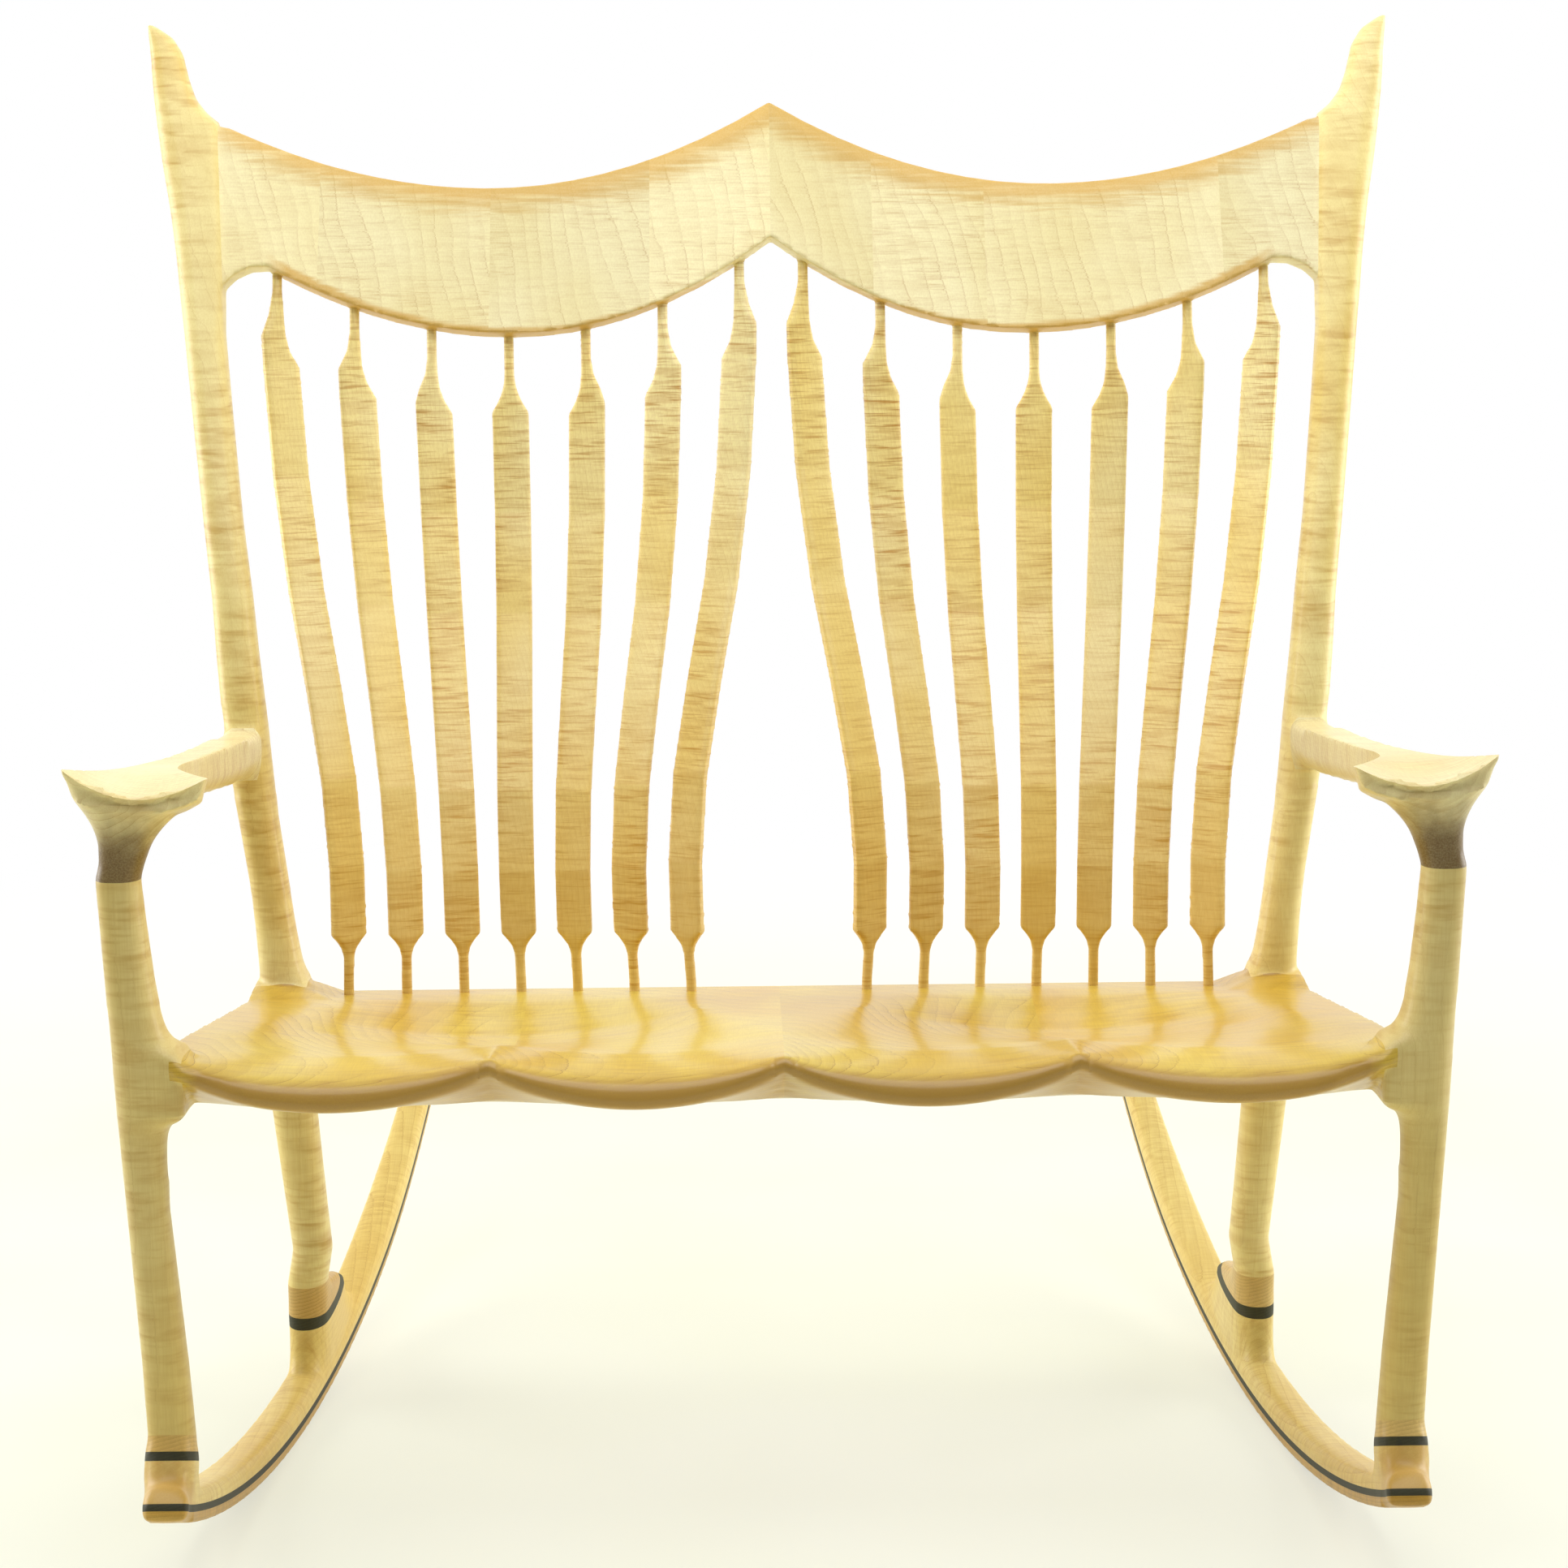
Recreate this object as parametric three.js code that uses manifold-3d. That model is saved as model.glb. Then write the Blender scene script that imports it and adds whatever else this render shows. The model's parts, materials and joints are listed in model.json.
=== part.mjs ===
// A rocking bench of curly maple: sculpted seat, bent back spindles and laminated rockers.
// Millimetres, Z up, X across the bench, Y from the front to the back. The floor is at Z 0.

import * as THREE from 'three';
import { mergeVertices } from 'three/addons/utils/BufferGeometryUtils.js';
import Module from 'manifold-3d';

const wasm = await Module();
wasm.setup();

// Driving dimensions, all places in Y counted from the axis of the front legs

const glueGap = 0.3; // clearance that a glued or fitted face keeps
const facetTolerance = 0.1; // how far a facet may stray when needless points are left out

const rocker = {
  soleRadius: 920,
  tipAhead: 56,
  tailBehind: 885,
  lowestBehind: 318,
  width: 34,
  soleThickness: 7.5,
  veneerThickness: 5,
  bodyThickness: 13,
  soleChamfer: 1.5,
  convergence: 47, // what the two rockers come nearer to the middle from the front leg to the back leg
  toeIn: 5,
  restFacet: 32,
};

const frontFoot = { behind: -16, riserTop: 44.5, spacer: 6.4, block: 11.5 };
const backFoot = { behind: 440, riserTop: 61, spacer: 9.5, block: 26 };

const seat = {
  planeHeight: 412.5, // top plane at the axis of the front legs
  drop: 51, // what the plane falls from the front legs to the spindle row
  thickness: 43,
  halfWidth: 441,
  sideBulge: 16,
  frontEdge: 47, // ahead of the front-leg axis
  cornerCut: 19,
  backEdge: 441,
  ridgeShare: 0.4785, // place of the ridge in a sitter's thigh roll, as a share of the half width
  bowlDepth: 22,
  rollDepth: 13,
  thighDepth: 8,
  lipRound: 14,
  ridgeLip: 10,
  lobeLip: 30,
  undercutReach: 75,
  legFillet: 26,
};

// Places of the legs and rockers, counted outwards from the seat's half width
const besideSeat = {
  rocker: 16,
  frontTop: 52,
  frontFoot: 31,
  frontNotch: -8,
  backSeat: 1,
  backFoot: -21,
  backNotch: -40,
};

const frontLeg = {
  topHeight: 543,
  topOuterX: seat.halfWidth + besideSeat.frontTop,
  footOuterX: seat.halfWidth + besideSeat.frontFoot,
  width: 32,
  depth: 34,
  notchX: seat.halfWidth + besideSeat.frontNotch,
  jointDepth: 48,
  fillet: 32,
};

const backLeg = {
  behind: 420, // axis at the seat joint, behind the front-leg axis
  hornHeight: 1190,
  hornLean: 300,
  seatOuterX: seat.halfWidth + besideSeat.backSeat,
  hornSplay: 118,
  footOuterX: seat.halfWidth + besideSeat.backFoot,
  notchX: seat.halfWidth + besideSeat.backNotch,
  width: 35,
  depth: 42,
  jointDepth: 46,
};

const arm = {
  frontReach: 33,
  tipOut: 18, // outside the front leg
  tipRise: 83.5, // above the top of the front leg
  rearRise: 42,
  paddleWidth: 103,
  waistWidth: 27,
  dish: 17,
  innerDrop: 8,
  frontBow: 12,
  thickness: 37,
};

const crest = {
  midShare: 0.5105, // place of the lowest top edge, as a share of the half length
  belowHorn: 143.5, // from the tip of the horn to the top edge at the middle of a place
  middleHeight: 131.5,
  outerTopRise: 62.8,
  peakTopRise: 74,
  midBottomShare: 0.4613,
  outerBottomRise: 64,
  peakBottomRise: 82,
  endReach: 43,
  endDrop: 41,
  dish: 20,
  hollow: 3,
  thickness: 24,
  faceSetback: 17,
  lean: 27 * Math.PI / 180,
  jointReach: 3, // how far the rail's blank runs into the leg before it is coped to it
};

const spindle = {
  perPlace: 7,
  seatInnerX: 74.2,
  seatOuterInset: 35.2, // from the last spindle to the back leg's joint block
  crestInnerX: 28,
  crestOuterInset: 8.8, // from the last spindle to where the rail runs down to the leg
  rowBehind: 419,
  rowArc: 13,
  seatWidth: 30.5,
  crestWidth: 33.5,
  thickness: 11,
  neck: 9.5,
  tenon: 18,
  lumbar: 31,
  turn: 27 * Math.PI / 180,
  lowerNeck: 34,
  lowerShoulder: 20,
  upperNeck: 68,
  upperSlant: 19,
  upperShoulder: 34,
};

const dowel = { diameter: 12, embed: 30, footEmbed: 20 };
const screw = { diameter: 7, embed: 38, countersink: 10 };

const middleBehind = (rocker.tailBehind - rocker.tipAhead) / 2;
const rockerFrontX = seat.halfWidth + besideSeat.rocker;
const ridgeX = seat.halfWidth * seat.ridgeShare;
const armTipX = frontLeg.topOuterX + arm.tipOut;
const armTipHeight = frontLeg.topHeight + arm.tipRise;
const armRearHeight = frontLeg.topHeight + arm.rearRise;
const crestMidTop = backLeg.hornHeight - crest.belowHorn;
const crestMidBottom = crestMidTop - crest.middleHeight;

const roundPower = 2.3;
const squarePower = 9;
const legSides = 18;

// Small helpers for numbers and points

const clamp01 = (t) => Math.min(1, Math.max(0, t));
const smooth = (t) => clamp01(t) ** 2 * (3 - 2 * clamp01(t));
const mix = (a, b, t) => a + (b - a) * t;

// Value of a smooth curve through rows [place share, value share, ...] at a place share
function through(rows, place, column) {
  let i = 0;
  while (i < rows.length - 2 && place > rows[i + 1][0]) i += 1;
  const [a, b] = [rows[i], rows[i + 1]];
  const before = rows[Math.max(0, i - 1)];
  const after = rows[Math.min(rows.length - 1, i + 2)];
  const span = b[0] - a[0];
  const t = clamp01((place - a[0]) / span);
  const slopeA = (b[column] - before[column]) / (b[0] - before[0]) * span;
  const slopeB = (after[column] - a[column]) / (after[0] - a[0]) * span;
  const h = [2 * t ** 3 - 3 * t ** 2 + 1, t ** 3 - 2 * t ** 2 + t, 3 * t ** 2 - 2 * t ** 3, t ** 3 - t ** 2];
  return h[0] * a[column] + h[1] * slopeA + h[2] * b[column] + h[3] * slopeB;
}

// Closed skin over a row of rings that all have the same number of points
function loft(rings) {
  const n = rings[0].length;
  const points = rings.flat();
  const faces = [];
  for (let r = 0; r < rings.length - 1; r += 1) {
    for (let k = 0; k < n; k += 1) {
      const [a, b] = [r * n + k, r * n + (k + 1) % n];
      faces.push(a, b, b + n, a, b + n, a + n);
    }
  }
  for (const [start, turned] of [[0, true], [(rings.length - 1) * n, false]]) {
    const ring = points.slice(start, start + n);
    const centre = ring.reduce((sum, p) => sum.add(p), new THREE.Vector3()).divideScalar(n);
    const c = points.push(centre) - 1;
    for (let k = 0; k < n; k += 1) {
      const [a, b] = [start + k, start + (k + 1) % n];
      faces.push(...(turned ? [c, b, a] : [c, a, b]));
    }
  }
  return facingOut(points, faces);
}

// Geometry from points and faces, turned so that its faces point outwards
function facingOut(points, faces) {
  let volume = 0;
  for (let i = 0; i < faces.length; i += 3) {
    const [a, b, c] = [points[faces[i]], points[faces[i + 1]], points[faces[i + 2]]];
    volume += a.dot(b.clone().cross(c));
  }
  if (volume < 0) faces.reverse();
  const geometry = new THREE.BufferGeometry();
  geometry.setFromPoints(points);
  geometry.setIndex(faces);
  return geometry;
}

// A three.js geometry as a solid that can be cut and joined, and back again
function toSolid(geometry) {
  const bare = new THREE.BufferGeometry();
  bare.setAttribute('position', geometry.getAttribute('position'));
  bare.setIndex(geometry.getIndex());
  const merged = mergeVertices(bare);
  return new wasm.Manifold(new wasm.Mesh({
    numProp: 3,
    vertProperties: new Float32Array(merged.getAttribute('position').array),
    triVerts: new Uint32Array(merged.getIndex().array),
  }));
}

function toGeometry(solid) {
  const mesh = solid.simplify(facetTolerance).getMesh();
  const geometry = new THREE.BufferGeometry();
  geometry.setAttribute('position', new THREE.BufferAttribute(new Float32Array(mesh.vertProperties), 3));
  geometry.setIndex(new THREE.BufferAttribute(new Uint32Array(mesh.triVerts), 1));
  return geometry;
}

const cut = (solid, cutters) => cutters.reduce((left, cutter) => left.subtract(cutter), solid);

// The same shape on the other side of the bench
function mirrored(geometry) {
  const copy = geometry.clone();
  copy.scale(-1, 1, 1);
  const index = Array.from(copy.getIndex().array);
  copy.setIndex(index.reverse());
  return copy;
}

// Rounded outline: half sizes to the inner, outer, front and rear side, squarer with a higher power.
// The inner side can be squarer than the outer one.
function outline(sides, inner, outer, front, rear, outerPower, innerPower = outerPower) {
  return Array.from({ length: sides }, (_, k) => {
    const angle = (k + 0.5) / sides * 2 * Math.PI;
    const [c, s] = [Math.cos(angle), Math.sin(angle)];
    const power = c > 0 ? outerPower : innerPower;
    const across = Math.sign(c) * Math.abs(c) ** (2 / power);
    const along = Math.sign(s) * Math.abs(s) ** (2 / power);
    return [across * (c > 0 ? outer : inner), along * (s > 0 ? rear : front)];
  });
}

// Rod between two points
function rod(from, to, radius, sides = 10) {
  const axis = to.clone().sub(from).normalize();
  const side = new THREE.Vector3(0, 1, 0).cross(axis);
  if (side.length() < 0.1) side.set(1, 0, 0).cross(axis);
  side.normalize();
  const up = axis.clone().cross(side);
  const ring = (end) => Array.from({ length: sides }, (_, k) => {
    const angle = k / sides * 2 * Math.PI;
    const [across, above] = [radius * Math.cos(angle), radius * Math.sin(angle)];
    return end.clone().addScaledVector(side, across).addScaledVector(up, above);
  });
  return loft([ring(from), ring(to)]);
}

// Rockers: places are given by the angle on the sole's arc, the offset sideways and the height above the sole

const restHalfAngle = Math.asin(rocker.restFacet / 2 / rocker.soleRadius);
const legSpread = backFoot.behind - frontFoot.behind;
const planPower = 1.25;

function rockerX(y) {
  const share = Math.max(0, y - frontFoot.behind) / legSpread;
  const toe = clamp01((frontFoot.behind - y) / (rocker.tipAhead + frontFoot.behind));
  return rockerFrontX - rocker.convergence * share ** planPower - rocker.toeIn * toe ** 2;
}

function soleAngle(y) {
  return Math.asin((y - rocker.lowestBehind) / rocker.soleRadius);
}

function rockerPoint(angle, sideways, height) {
  const y = rocker.lowestBehind + rocker.soleRadius * Math.sin(angle);
  const radius = rocker.soleRadius - height;
  return new THREE.Vector3(
    rockerX(y) + sideways,
    rocker.lowestBehind + radius * Math.sin(angle),
    rocker.soleRadius * Math.cos(restHalfAngle) - radius * Math.cos(angle),
  );
}

// Angles of the stations, with one flat facet under the lowest point
function rockerAngles() {
  const half = restHalfAngle;
  const [tip, tail] = [soleAngle(-rocker.tipAhead), soleAngle(rocker.tailBehind)];
  const frontCount = Math.ceil((-half - tip) / (2 * half));
  const rearCount = Math.ceil((tail - half) / (2 * half));
  const front = Array.from({ length: frontCount + 1 }, (_, k) => mix(tip, -half, k / frontCount));
  const rear = Array.from({ length: rearCount + 1 }, (_, k) => mix(half, tail, k / rearCount));
  return [...front, ...rear];
}

const tailNarrowShare = 0.8;
const rootShare = 0.45;

function rockerWidth(angle) {
  const tail = soleAngle(rocker.tailBehind);
  return rocker.width * mix(1, tailNarrowShare, smooth((angle / tail - 0.5) * 2));
}

// One lamination: its outline is given as shares of the width and heights above the sole
function lamination(section) {
  const ring = (angle) => section(rockerWidth(angle)).map(([x, h]) => rockerPoint(angle, x, h));
  return loft(rockerAngles().map(ring));
}

const veneerBase = rocker.soleThickness + glueGap;
const bodyBase = veneerBase + rocker.veneerThickness + glueGap;
const bodyTop = bodyBase + rocker.bodyThickness;

const soleSection = (w) => [
  [-w / 2 + rocker.soleChamfer, 0], [w / 2 - rocker.soleChamfer, 0], [w / 2, rocker.soleChamfer],
  [w / 2, rocker.soleThickness], [-w / 2, rocker.soleThickness], [-w / 2, rocker.soleChamfer],
];

const veneerSection = (w) => [
  [-w / 2, veneerBase], [w / 2, veneerBase],
  [w / 2, veneerBase + rocker.veneerThickness], [-w / 2, veneerBase + rocker.veneerThickness],
];

const crownShares = [[0.5, 0.38], [0.41, 0.8], [0.18, 1], [-0.18, 1], [-0.41, 0.8], [-0.5, 0.38]];

const bodySection = (w) => [
  [-w / 2, bodyBase], [w / 2, bodyBase],
  ...crownShares.map(([x, h]) => [x * w, bodyBase + h * rocker.bodyThickness]),
];

// Ring of a leg's foot, in the plane that is square to the rocker at that foot, or bent as the rocker is
function footRing(foot, height, front, rear, half, bent) {
  const angle = soleAngle(foot.behind);
  const along = new THREE.Vector3(0, Math.cos(angle), Math.sin(angle));
  return outline(legSides, half, half, front, rear, roundPower).map(([x, y]) => {
    const flat = rockerPoint(angle, 0, height).addScaledVector(along, y);
    const point = flat.lerp(rockerPoint(angle + y / (rocker.soleRadius - height), 0, height), bent);
    return point.setX(rockerX(point.y) + x);
  });
}

// Sizes of the foot outlines, front, rear and half width, as shares of the rocker's width
const footShares = {
  front: {
    leg: [0.5, 0.56, 0.51],
    spacer: [0.56, 0.85, 0.545],
    low: [0.6, 1.0, 0.55],
    root: [0.95, 2.1, 0.49],
  },
  back: {
    leg: [0.5, 0.58, 0.49],
    spacer: [0.62, 2.2, 0.51],
    low: [0.72, 2.65, 0.5],
    root: [1.6, 3.8, 0.48],
  },
};

function ringAt(foot, shares, height, margin = 0, bent = 0) {
  const [front, rear, half] = shares.map((share) => share * rocker.width + margin);
  return footRing(foot, height, front, rear, half, bent);
}

// The raised seat for a leg that is built up on the rocker and shaped to flow into it.
// Rows of height share and outline share
const riserShares = [[0, 0], [0.2, 0.45], [0.42, 0.75], [0.7, 0.93], [1, 1]];

function riser(foot, shares) {
  const rootHeight = bodyBase + rocker.bodyThickness * rootShare;
  const at = (t) => mix(rootHeight, foot.riserTop, t);
  const blend = (t) => shares.root.map((share, k) => mix(share, shares.low[k], t));
  return loft(riserShares.map(([t, inward]) => ringAt(foot, blend(inward), at(t), 0, 1 - t)));
}

// Dark spacer and wooden block between a riser and its leg
const spacerBase = (foot) => foot.riserTop + glueGap;
const blockBase = (foot) => spacerBase(foot) + foot.spacer + glueGap;
const legBase = (foot) => blockBase(foot) + foot.block + glueGap;

function footSpacer(foot, shares) {
  const base = spacerBase(foot);
  return loft([ringAt(foot, shares.low, base), ringAt(foot, shares.spacer, base + foot.spacer)]);
}

function footBlock(foot, shares) {
  const middle = shares.spacer.map((share, k) => mix(share, shares.leg[k], 0.72));
  const at = (t) => blockBase(foot) + foot.block * t;
  return loft([
    ringAt(foot, shares.spacer, at(0)),
    ringAt(foot, middle, at(0.45)),
    ringAt(foot, shares.leg, at(1)),
  ]);
}

function footDowel(foot, margin = 0) {
  const angle = soleAngle(foot.behind);
  const low = bodyBase + rocker.veneerThickness - margin;
  const high = legBase(foot) + dowel.footEmbed + margin;
  return rod(rockerPoint(angle, 0, low), rockerPoint(angle, 0, high), dowel.diameter / 2 + margin, 12);
}

// Seat: a top plane that falls to the back, hollowed for two sitters, with a scalloped front lip

const seatSlope = seat.drop / spindle.rowBehind;
const seatPlane = (y) => seat.planeHeight - seatSlope * y;

// Two round thigh lobes a place, with sharp ridges between them
function lobe(x) {
  const span = x < ridgeX ? ridgeX : seat.halfWidth - ridgeX;
  const place = x < ridgeX ? x / span : (x - ridgeX) / span;
  return Math.sin(Math.PI * clamp01(place)) ** 0.8;
}

const bowlShares = { innerRear: 0.3, outerRear: 1.83, outerFront: 2.03, rearEdge: 0.885, rearCorner: 0.11 };

function bowl(x, y) {
  const back = clamp01(y / seat.backEdge);
  const inner = ridgeX * bowlShares.innerRear * smooth(back * 1.6);
  const outer = ridgeX * mix(bowlShares.outerFront, bowlShares.outerRear, smooth(back * 1.3));
  const u = (x - (inner + outer) / 2) / ((outer - inner) / 2);
  if (Math.abs(u) >= 1) return 0;
  const rear = seat.backEdge * (bowlShares.rearEdge - bowlShares.rearCorner * u ** 2);
  const fromRear = smooth((rear - y) / (seat.backEdge * 0.3));
  const fromFront = smooth((y / seat.backEdge - 0.08) / 0.36);
  return seat.bowlDepth * (1 - u ** 2) ** 0.85 * fromRear * fromFront;
}

// Thigh roll: what the top falls at the front of each lobe
function roll(x, y) {
  const thigh = seat.thighDepth * smooth((0.36 - y / seat.backEdge) / 0.26);
  const edge = seat.rollDepth * clamp01((0.1 - y / seat.backEdge) / 0.21) ** 1.8;
  return lobe(x) * (thigh + edge);
}

const cornerShare = 0.86;

function seatFront(x) {
  return -seat.frontEdge + seat.cornerCut * smooth((x / seat.halfWidth - cornerShare) / (1 - cornerShare));
}

function lipDrop(x, y) {
  const radius = seat.lipRound * mix(0.35, 1, lobe(x));
  const inside = clamp01(1 - (y - seatFront(x)) / radius);
  return radius * (1 - Math.sqrt(1 - inside ** 2));
}

// The top rises in a round fillet against each back leg
function legRise(x, y) {
  const dx = Math.max(0, backLeg.notchX - x);
  const dy = Math.max(0, backLeg.behind - backLeg.jointDepth / 2 - y);
  const near = clamp01(1 - Math.hypot(dx, dy) / seat.legFillet);
  return seat.legFillet * (1 - Math.sqrt(1 - (near * 0.85) ** 2));
}

const seatTop = (x, y) => seatPlane(y) - bowl(x, y) - roll(x, y) - lipDrop(x, y) + legRise(x, y);

function seatBottom(x, y) {
  const low = seatPlane(y) - seat.thickness;
  const lip = seatPlane(seatFront(x)) - seat.ridgeLip - seat.lobeLip * lobe(x);
  const near = clamp01(1 - (y - seatFront(x)) / seat.undercutReach);
  return mix(low, Math.max(low, lip), near ** 1.5);
}

const sideStart = -0.5;

function seatSide(y) {
  const behind = smooth((y / frontLeg.jointDepth - sideStart) / (1 - sideStart));
  const back = y / seat.backEdge;
  return seat.halfWidth + seat.sideBulge * behind * mix(1, 0.2, smooth(back));
}

const rowShares = [0, 0.012, 0.03, 0.06, 0.11, 0.18, 0.27, 0.38, 0.52, 0.64, 0.75, 0.83, 0.9, 0.945, 1];
const columnCount = 10;

// One board of the seat, from its inner glue line to its outer one or to the side of the seat
function seatBoard(innerX, outerX) {
  const grid = rowShares.map((b) => Array.from({ length: columnCount + 1 }, (_, i) => {
    const a = i / columnCount;
    const guess = mix(innerX, outerX ?? seat.halfWidth, a);
    const y = mix(seatFront(guess), seat.backEdge, b);
    return [mix(innerX, outerX ?? seatSide(y), a), y];
  }));
  const points = [];
  const index = (j, i, low) => ((j * (columnCount + 1) + i) * 2 + low);
  for (const [x, y] of grid.flat()) {
    points.push(new THREE.Vector3(x, y, seatTop(x, y)), new THREE.Vector3(x, y, seatBottom(x, y)));
  }
  const faces = [];
  const quad = (a, b, c, d) => faces.push(a, b, c, a, c, d);
  const rows = rowShares.length - 1;
  const last = columnCount;
  for (let j = 0; j < rows; j += 1) {
    for (let i = 0; i < columnCount; i += 1) {
      quad(index(j, i, 0), index(j, i + 1, 0), index(j + 1, i + 1, 0), index(j + 1, i, 0));
      quad(index(j, i, 1), index(j + 1, i, 1), index(j + 1, i + 1, 1), index(j, i + 1, 1));
    }
    quad(index(j, 0, 1), index(j, 0, 0), index(j + 1, 0, 0), index(j + 1, 0, 1));
    quad(index(j, last, 0), index(j, last, 1), index(j + 1, last, 1), index(j + 1, last, 0));
  }
  for (let i = 0; i < columnCount; i += 1) {
    quad(index(0, i, 1), index(0, i + 1, 1), index(0, i + 1, 0), index(0, i, 0));
    quad(index(rows, i, 0), index(rows, i + 1, 0), index(rows, i + 1, 1), index(rows, i, 1));
  }
  return facingOut(points, faces);
}

// Horizontal ring of a leg from its inner and outer edge, its middle in Y, its depth and its squareness
function legRing(z, innerX, outerX, y, depth, power, margin = 0) {
  const half = (outerX - innerX) / 2 + margin;
  const reach = depth / 2 + margin;
  return outline(legSides, half, half, reach, reach, roundPower, power).map(([dx, dy]) => (
    new THREE.Vector3((innerX + outerX) / 2 + dx, y + dy, z)));
}

// Front leg: rows of height share, width share and depth share, above and below the seat joint
const frontUpperShares = [
  [1, 1, 0.97], [0.75, 1.03, 1], [0.42, 1.1, 1.06],
  [0.23, 1.18, 1.12], [0.13, 1.28, 1.2], [0.07, 1.45, 1.28],
];
const frontLowerShares = [
  [0.02, 1.24, 1.26], [0.045, 1.12, 1.16], [0.1, 1.04, 1.08],
  [0.3, 0.95, 1], [0.5, 0.99, 1], [0.78, 1.04, 1.04],
];

function frontLegX(z, footZ) {
  return mix(frontLeg.footOuterX, frontLeg.topOuterX, (z - footZ) / (frontLeg.topHeight - footZ));
}

function frontLegBody(margin = 0) {
  const shares = footShares.front.leg;
  const foot = ringAt(frontFoot, shares, legBase(frontFoot), margin);
  const angle = soleAngle(frontFoot.behind);
  const base = rockerPoint(angle, 0, legBase(frontFoot));
  const [top, bottom] = [seatPlane(0), seatPlane(0) - seat.thickness];
  const y = (z) => base.y * (1 - clamp01((z - base.z) / (bottom - base.z)));
  const ring = (z, width, depth) => {
    const outer = frontLegX(z, base.z);
    const inner = outer - width * frontLeg.width;
    return legRing(z, inner, outer, y(z), depth * frontLeg.depth, roundPower, margin);
  };
  const joint = (z) => (
    legRing(z, frontLeg.notchX, frontLegX(z, base.z), 0, frontLeg.jointDepth, squarePower, margin));
  return loft([
    ...frontUpperShares.map(([t, w, d]) => ring(mix(top, frontLeg.topHeight, t), w, d)),
    joint(top + frontLeg.fillet / 8),
    joint(bottom - frontLeg.fillet / 8),
    ...frontLowerShares.map(([t, w, d]) => ring(mix(bottom, base.z, t), w, d)),
    foot,
  ]);
}

// Back leg: rows of height share above the seat, lean, splay, width and depth share, and squareness
const backUpperShares = [
  [0.015, 0, 0.0, 1.18, 1.08, 4], [0.032, 0.004, 0.01, 1.06, 1.03, 2.6],
  [0.067, 0.012, 0.026, 0.97, 1, 2.3], [0.116, 0.024, 0.06, 0.92, 0.98, 2.3],
  [0.183, 0.05, 0.138, 0.95, 0.98, 2.3], [0.225, 0.076, 0.195, 1.04, 1, 2.6],
  [0.29, 0.12, 0.259, 1.06, 0.98, 2.6], [0.345, 0.165, 0.3, 1.02, 0.95, 2.4],
  [0.4, 0.212, 0.335, 0.98, 0.93, 2.4], [0.478, 0.3, 0.414, 0.95, 0.92, 2.5],
  [0.593, 0.443, 0.53, 0.98, 0.9, 2.6], [0.668, 0.538, 0.604, 1, 0.89, 3],
  [0.702, 0.584, 0.642, 1.07, 0.88, 6], [0.75, 0.646, 0.69, 1.16, 0.88, 7],
  [0.8, 0.714, 0.753, 1.3, 0.87, 8], [0.848, 0.782, 0.828, 1.43, 0.86, 8],
  [0.892, 0.846, 0.888, 1.55, 0.84, 7], [0.903, 0.862, 0.9, 1.27, 0.8, 4],
  [0.918, 0.884, 0.918, 1.05, 0.76, 3], [0.94, 0.916, 0.94, 0.92, 0.7, 2.6],
  [0.967, 0.954, 0.966, 0.84, 0.62, 2.4], [0.985, 0.98, 0.986, 0.62, 0.54, 2.3],
  [0.995, 0.995, 0.996, 0.3, 0.42, 2.3], [1, 1, 1, 0.1, 0.3, 2.3],
];
const backLowerShares = [
  [0.03, 1.16, 1.06], [0.1, 1.1, 1], [0.34, 1.06, 0.96], [0.62, 1, 0.92], [0.86, 0.96, 0.88],
];

const backSeatTop = seatPlane(backLeg.behind);
const backRise = backLeg.hornHeight - backSeatTop;

// Place of the back leg's middle in Y, and of its outer and inner edge in X, at a height above the seat
const backShare = (z, column) => through(backUpperShares, (z - backSeatTop) / backRise, column);
const backLegY = (z) => backLeg.behind + backLeg.hornLean * backShare(z, 1);
const backLegOuter = (z) => backLeg.seatOuterX + backLeg.hornSplay * backShare(z, 2);
const backLegInner = (z) => backLegOuter(z) - backLeg.width * backShare(z, 3);

function backLegBody(margin = 0) {
  const shares = footShares.back.leg;
  const foot = ringAt(backFoot, shares, legBase(backFoot), margin);
  const base = rockerPoint(soleAngle(backFoot.behind), 0, legBase(backFoot));
  const [top, bottom] = [backSeatTop, backSeatTop - seat.thickness];
  const upper = backUpperShares.map(([t, lean, splay, w, d, power]) => {
    const outer = backLeg.seatOuterX + splay * backLeg.hornSplay;
    const y = backLeg.behind + lean * backLeg.hornLean;
    const z = top + t * backRise;
    return legRing(z, outer - w * backLeg.width, outer, y, d * backLeg.depth, power, margin);
  });
  const lower = backLowerShares.map(([t, w, d]) => {
    const outer = mix(backLeg.seatOuterX, backLeg.footOuterX, t);
    const inner = outer - w * backLeg.width;
    const [y, z] = [mix(backLeg.behind, base.y, t), mix(bottom, base.z, t)];
    return legRing(z, inner, outer, y, d * backLeg.depth, roundPower, margin);
  });
  const { notchX, seatOuterX, behind, jointDepth } = backLeg;
  const joint = (z) => legRing(z, notchX, seatOuterX, behind, jointDepth, squarePower, margin);
  return loft([...upper.reverse(), joint(top), joint(bottom), ...lower, foot]);
}

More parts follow.
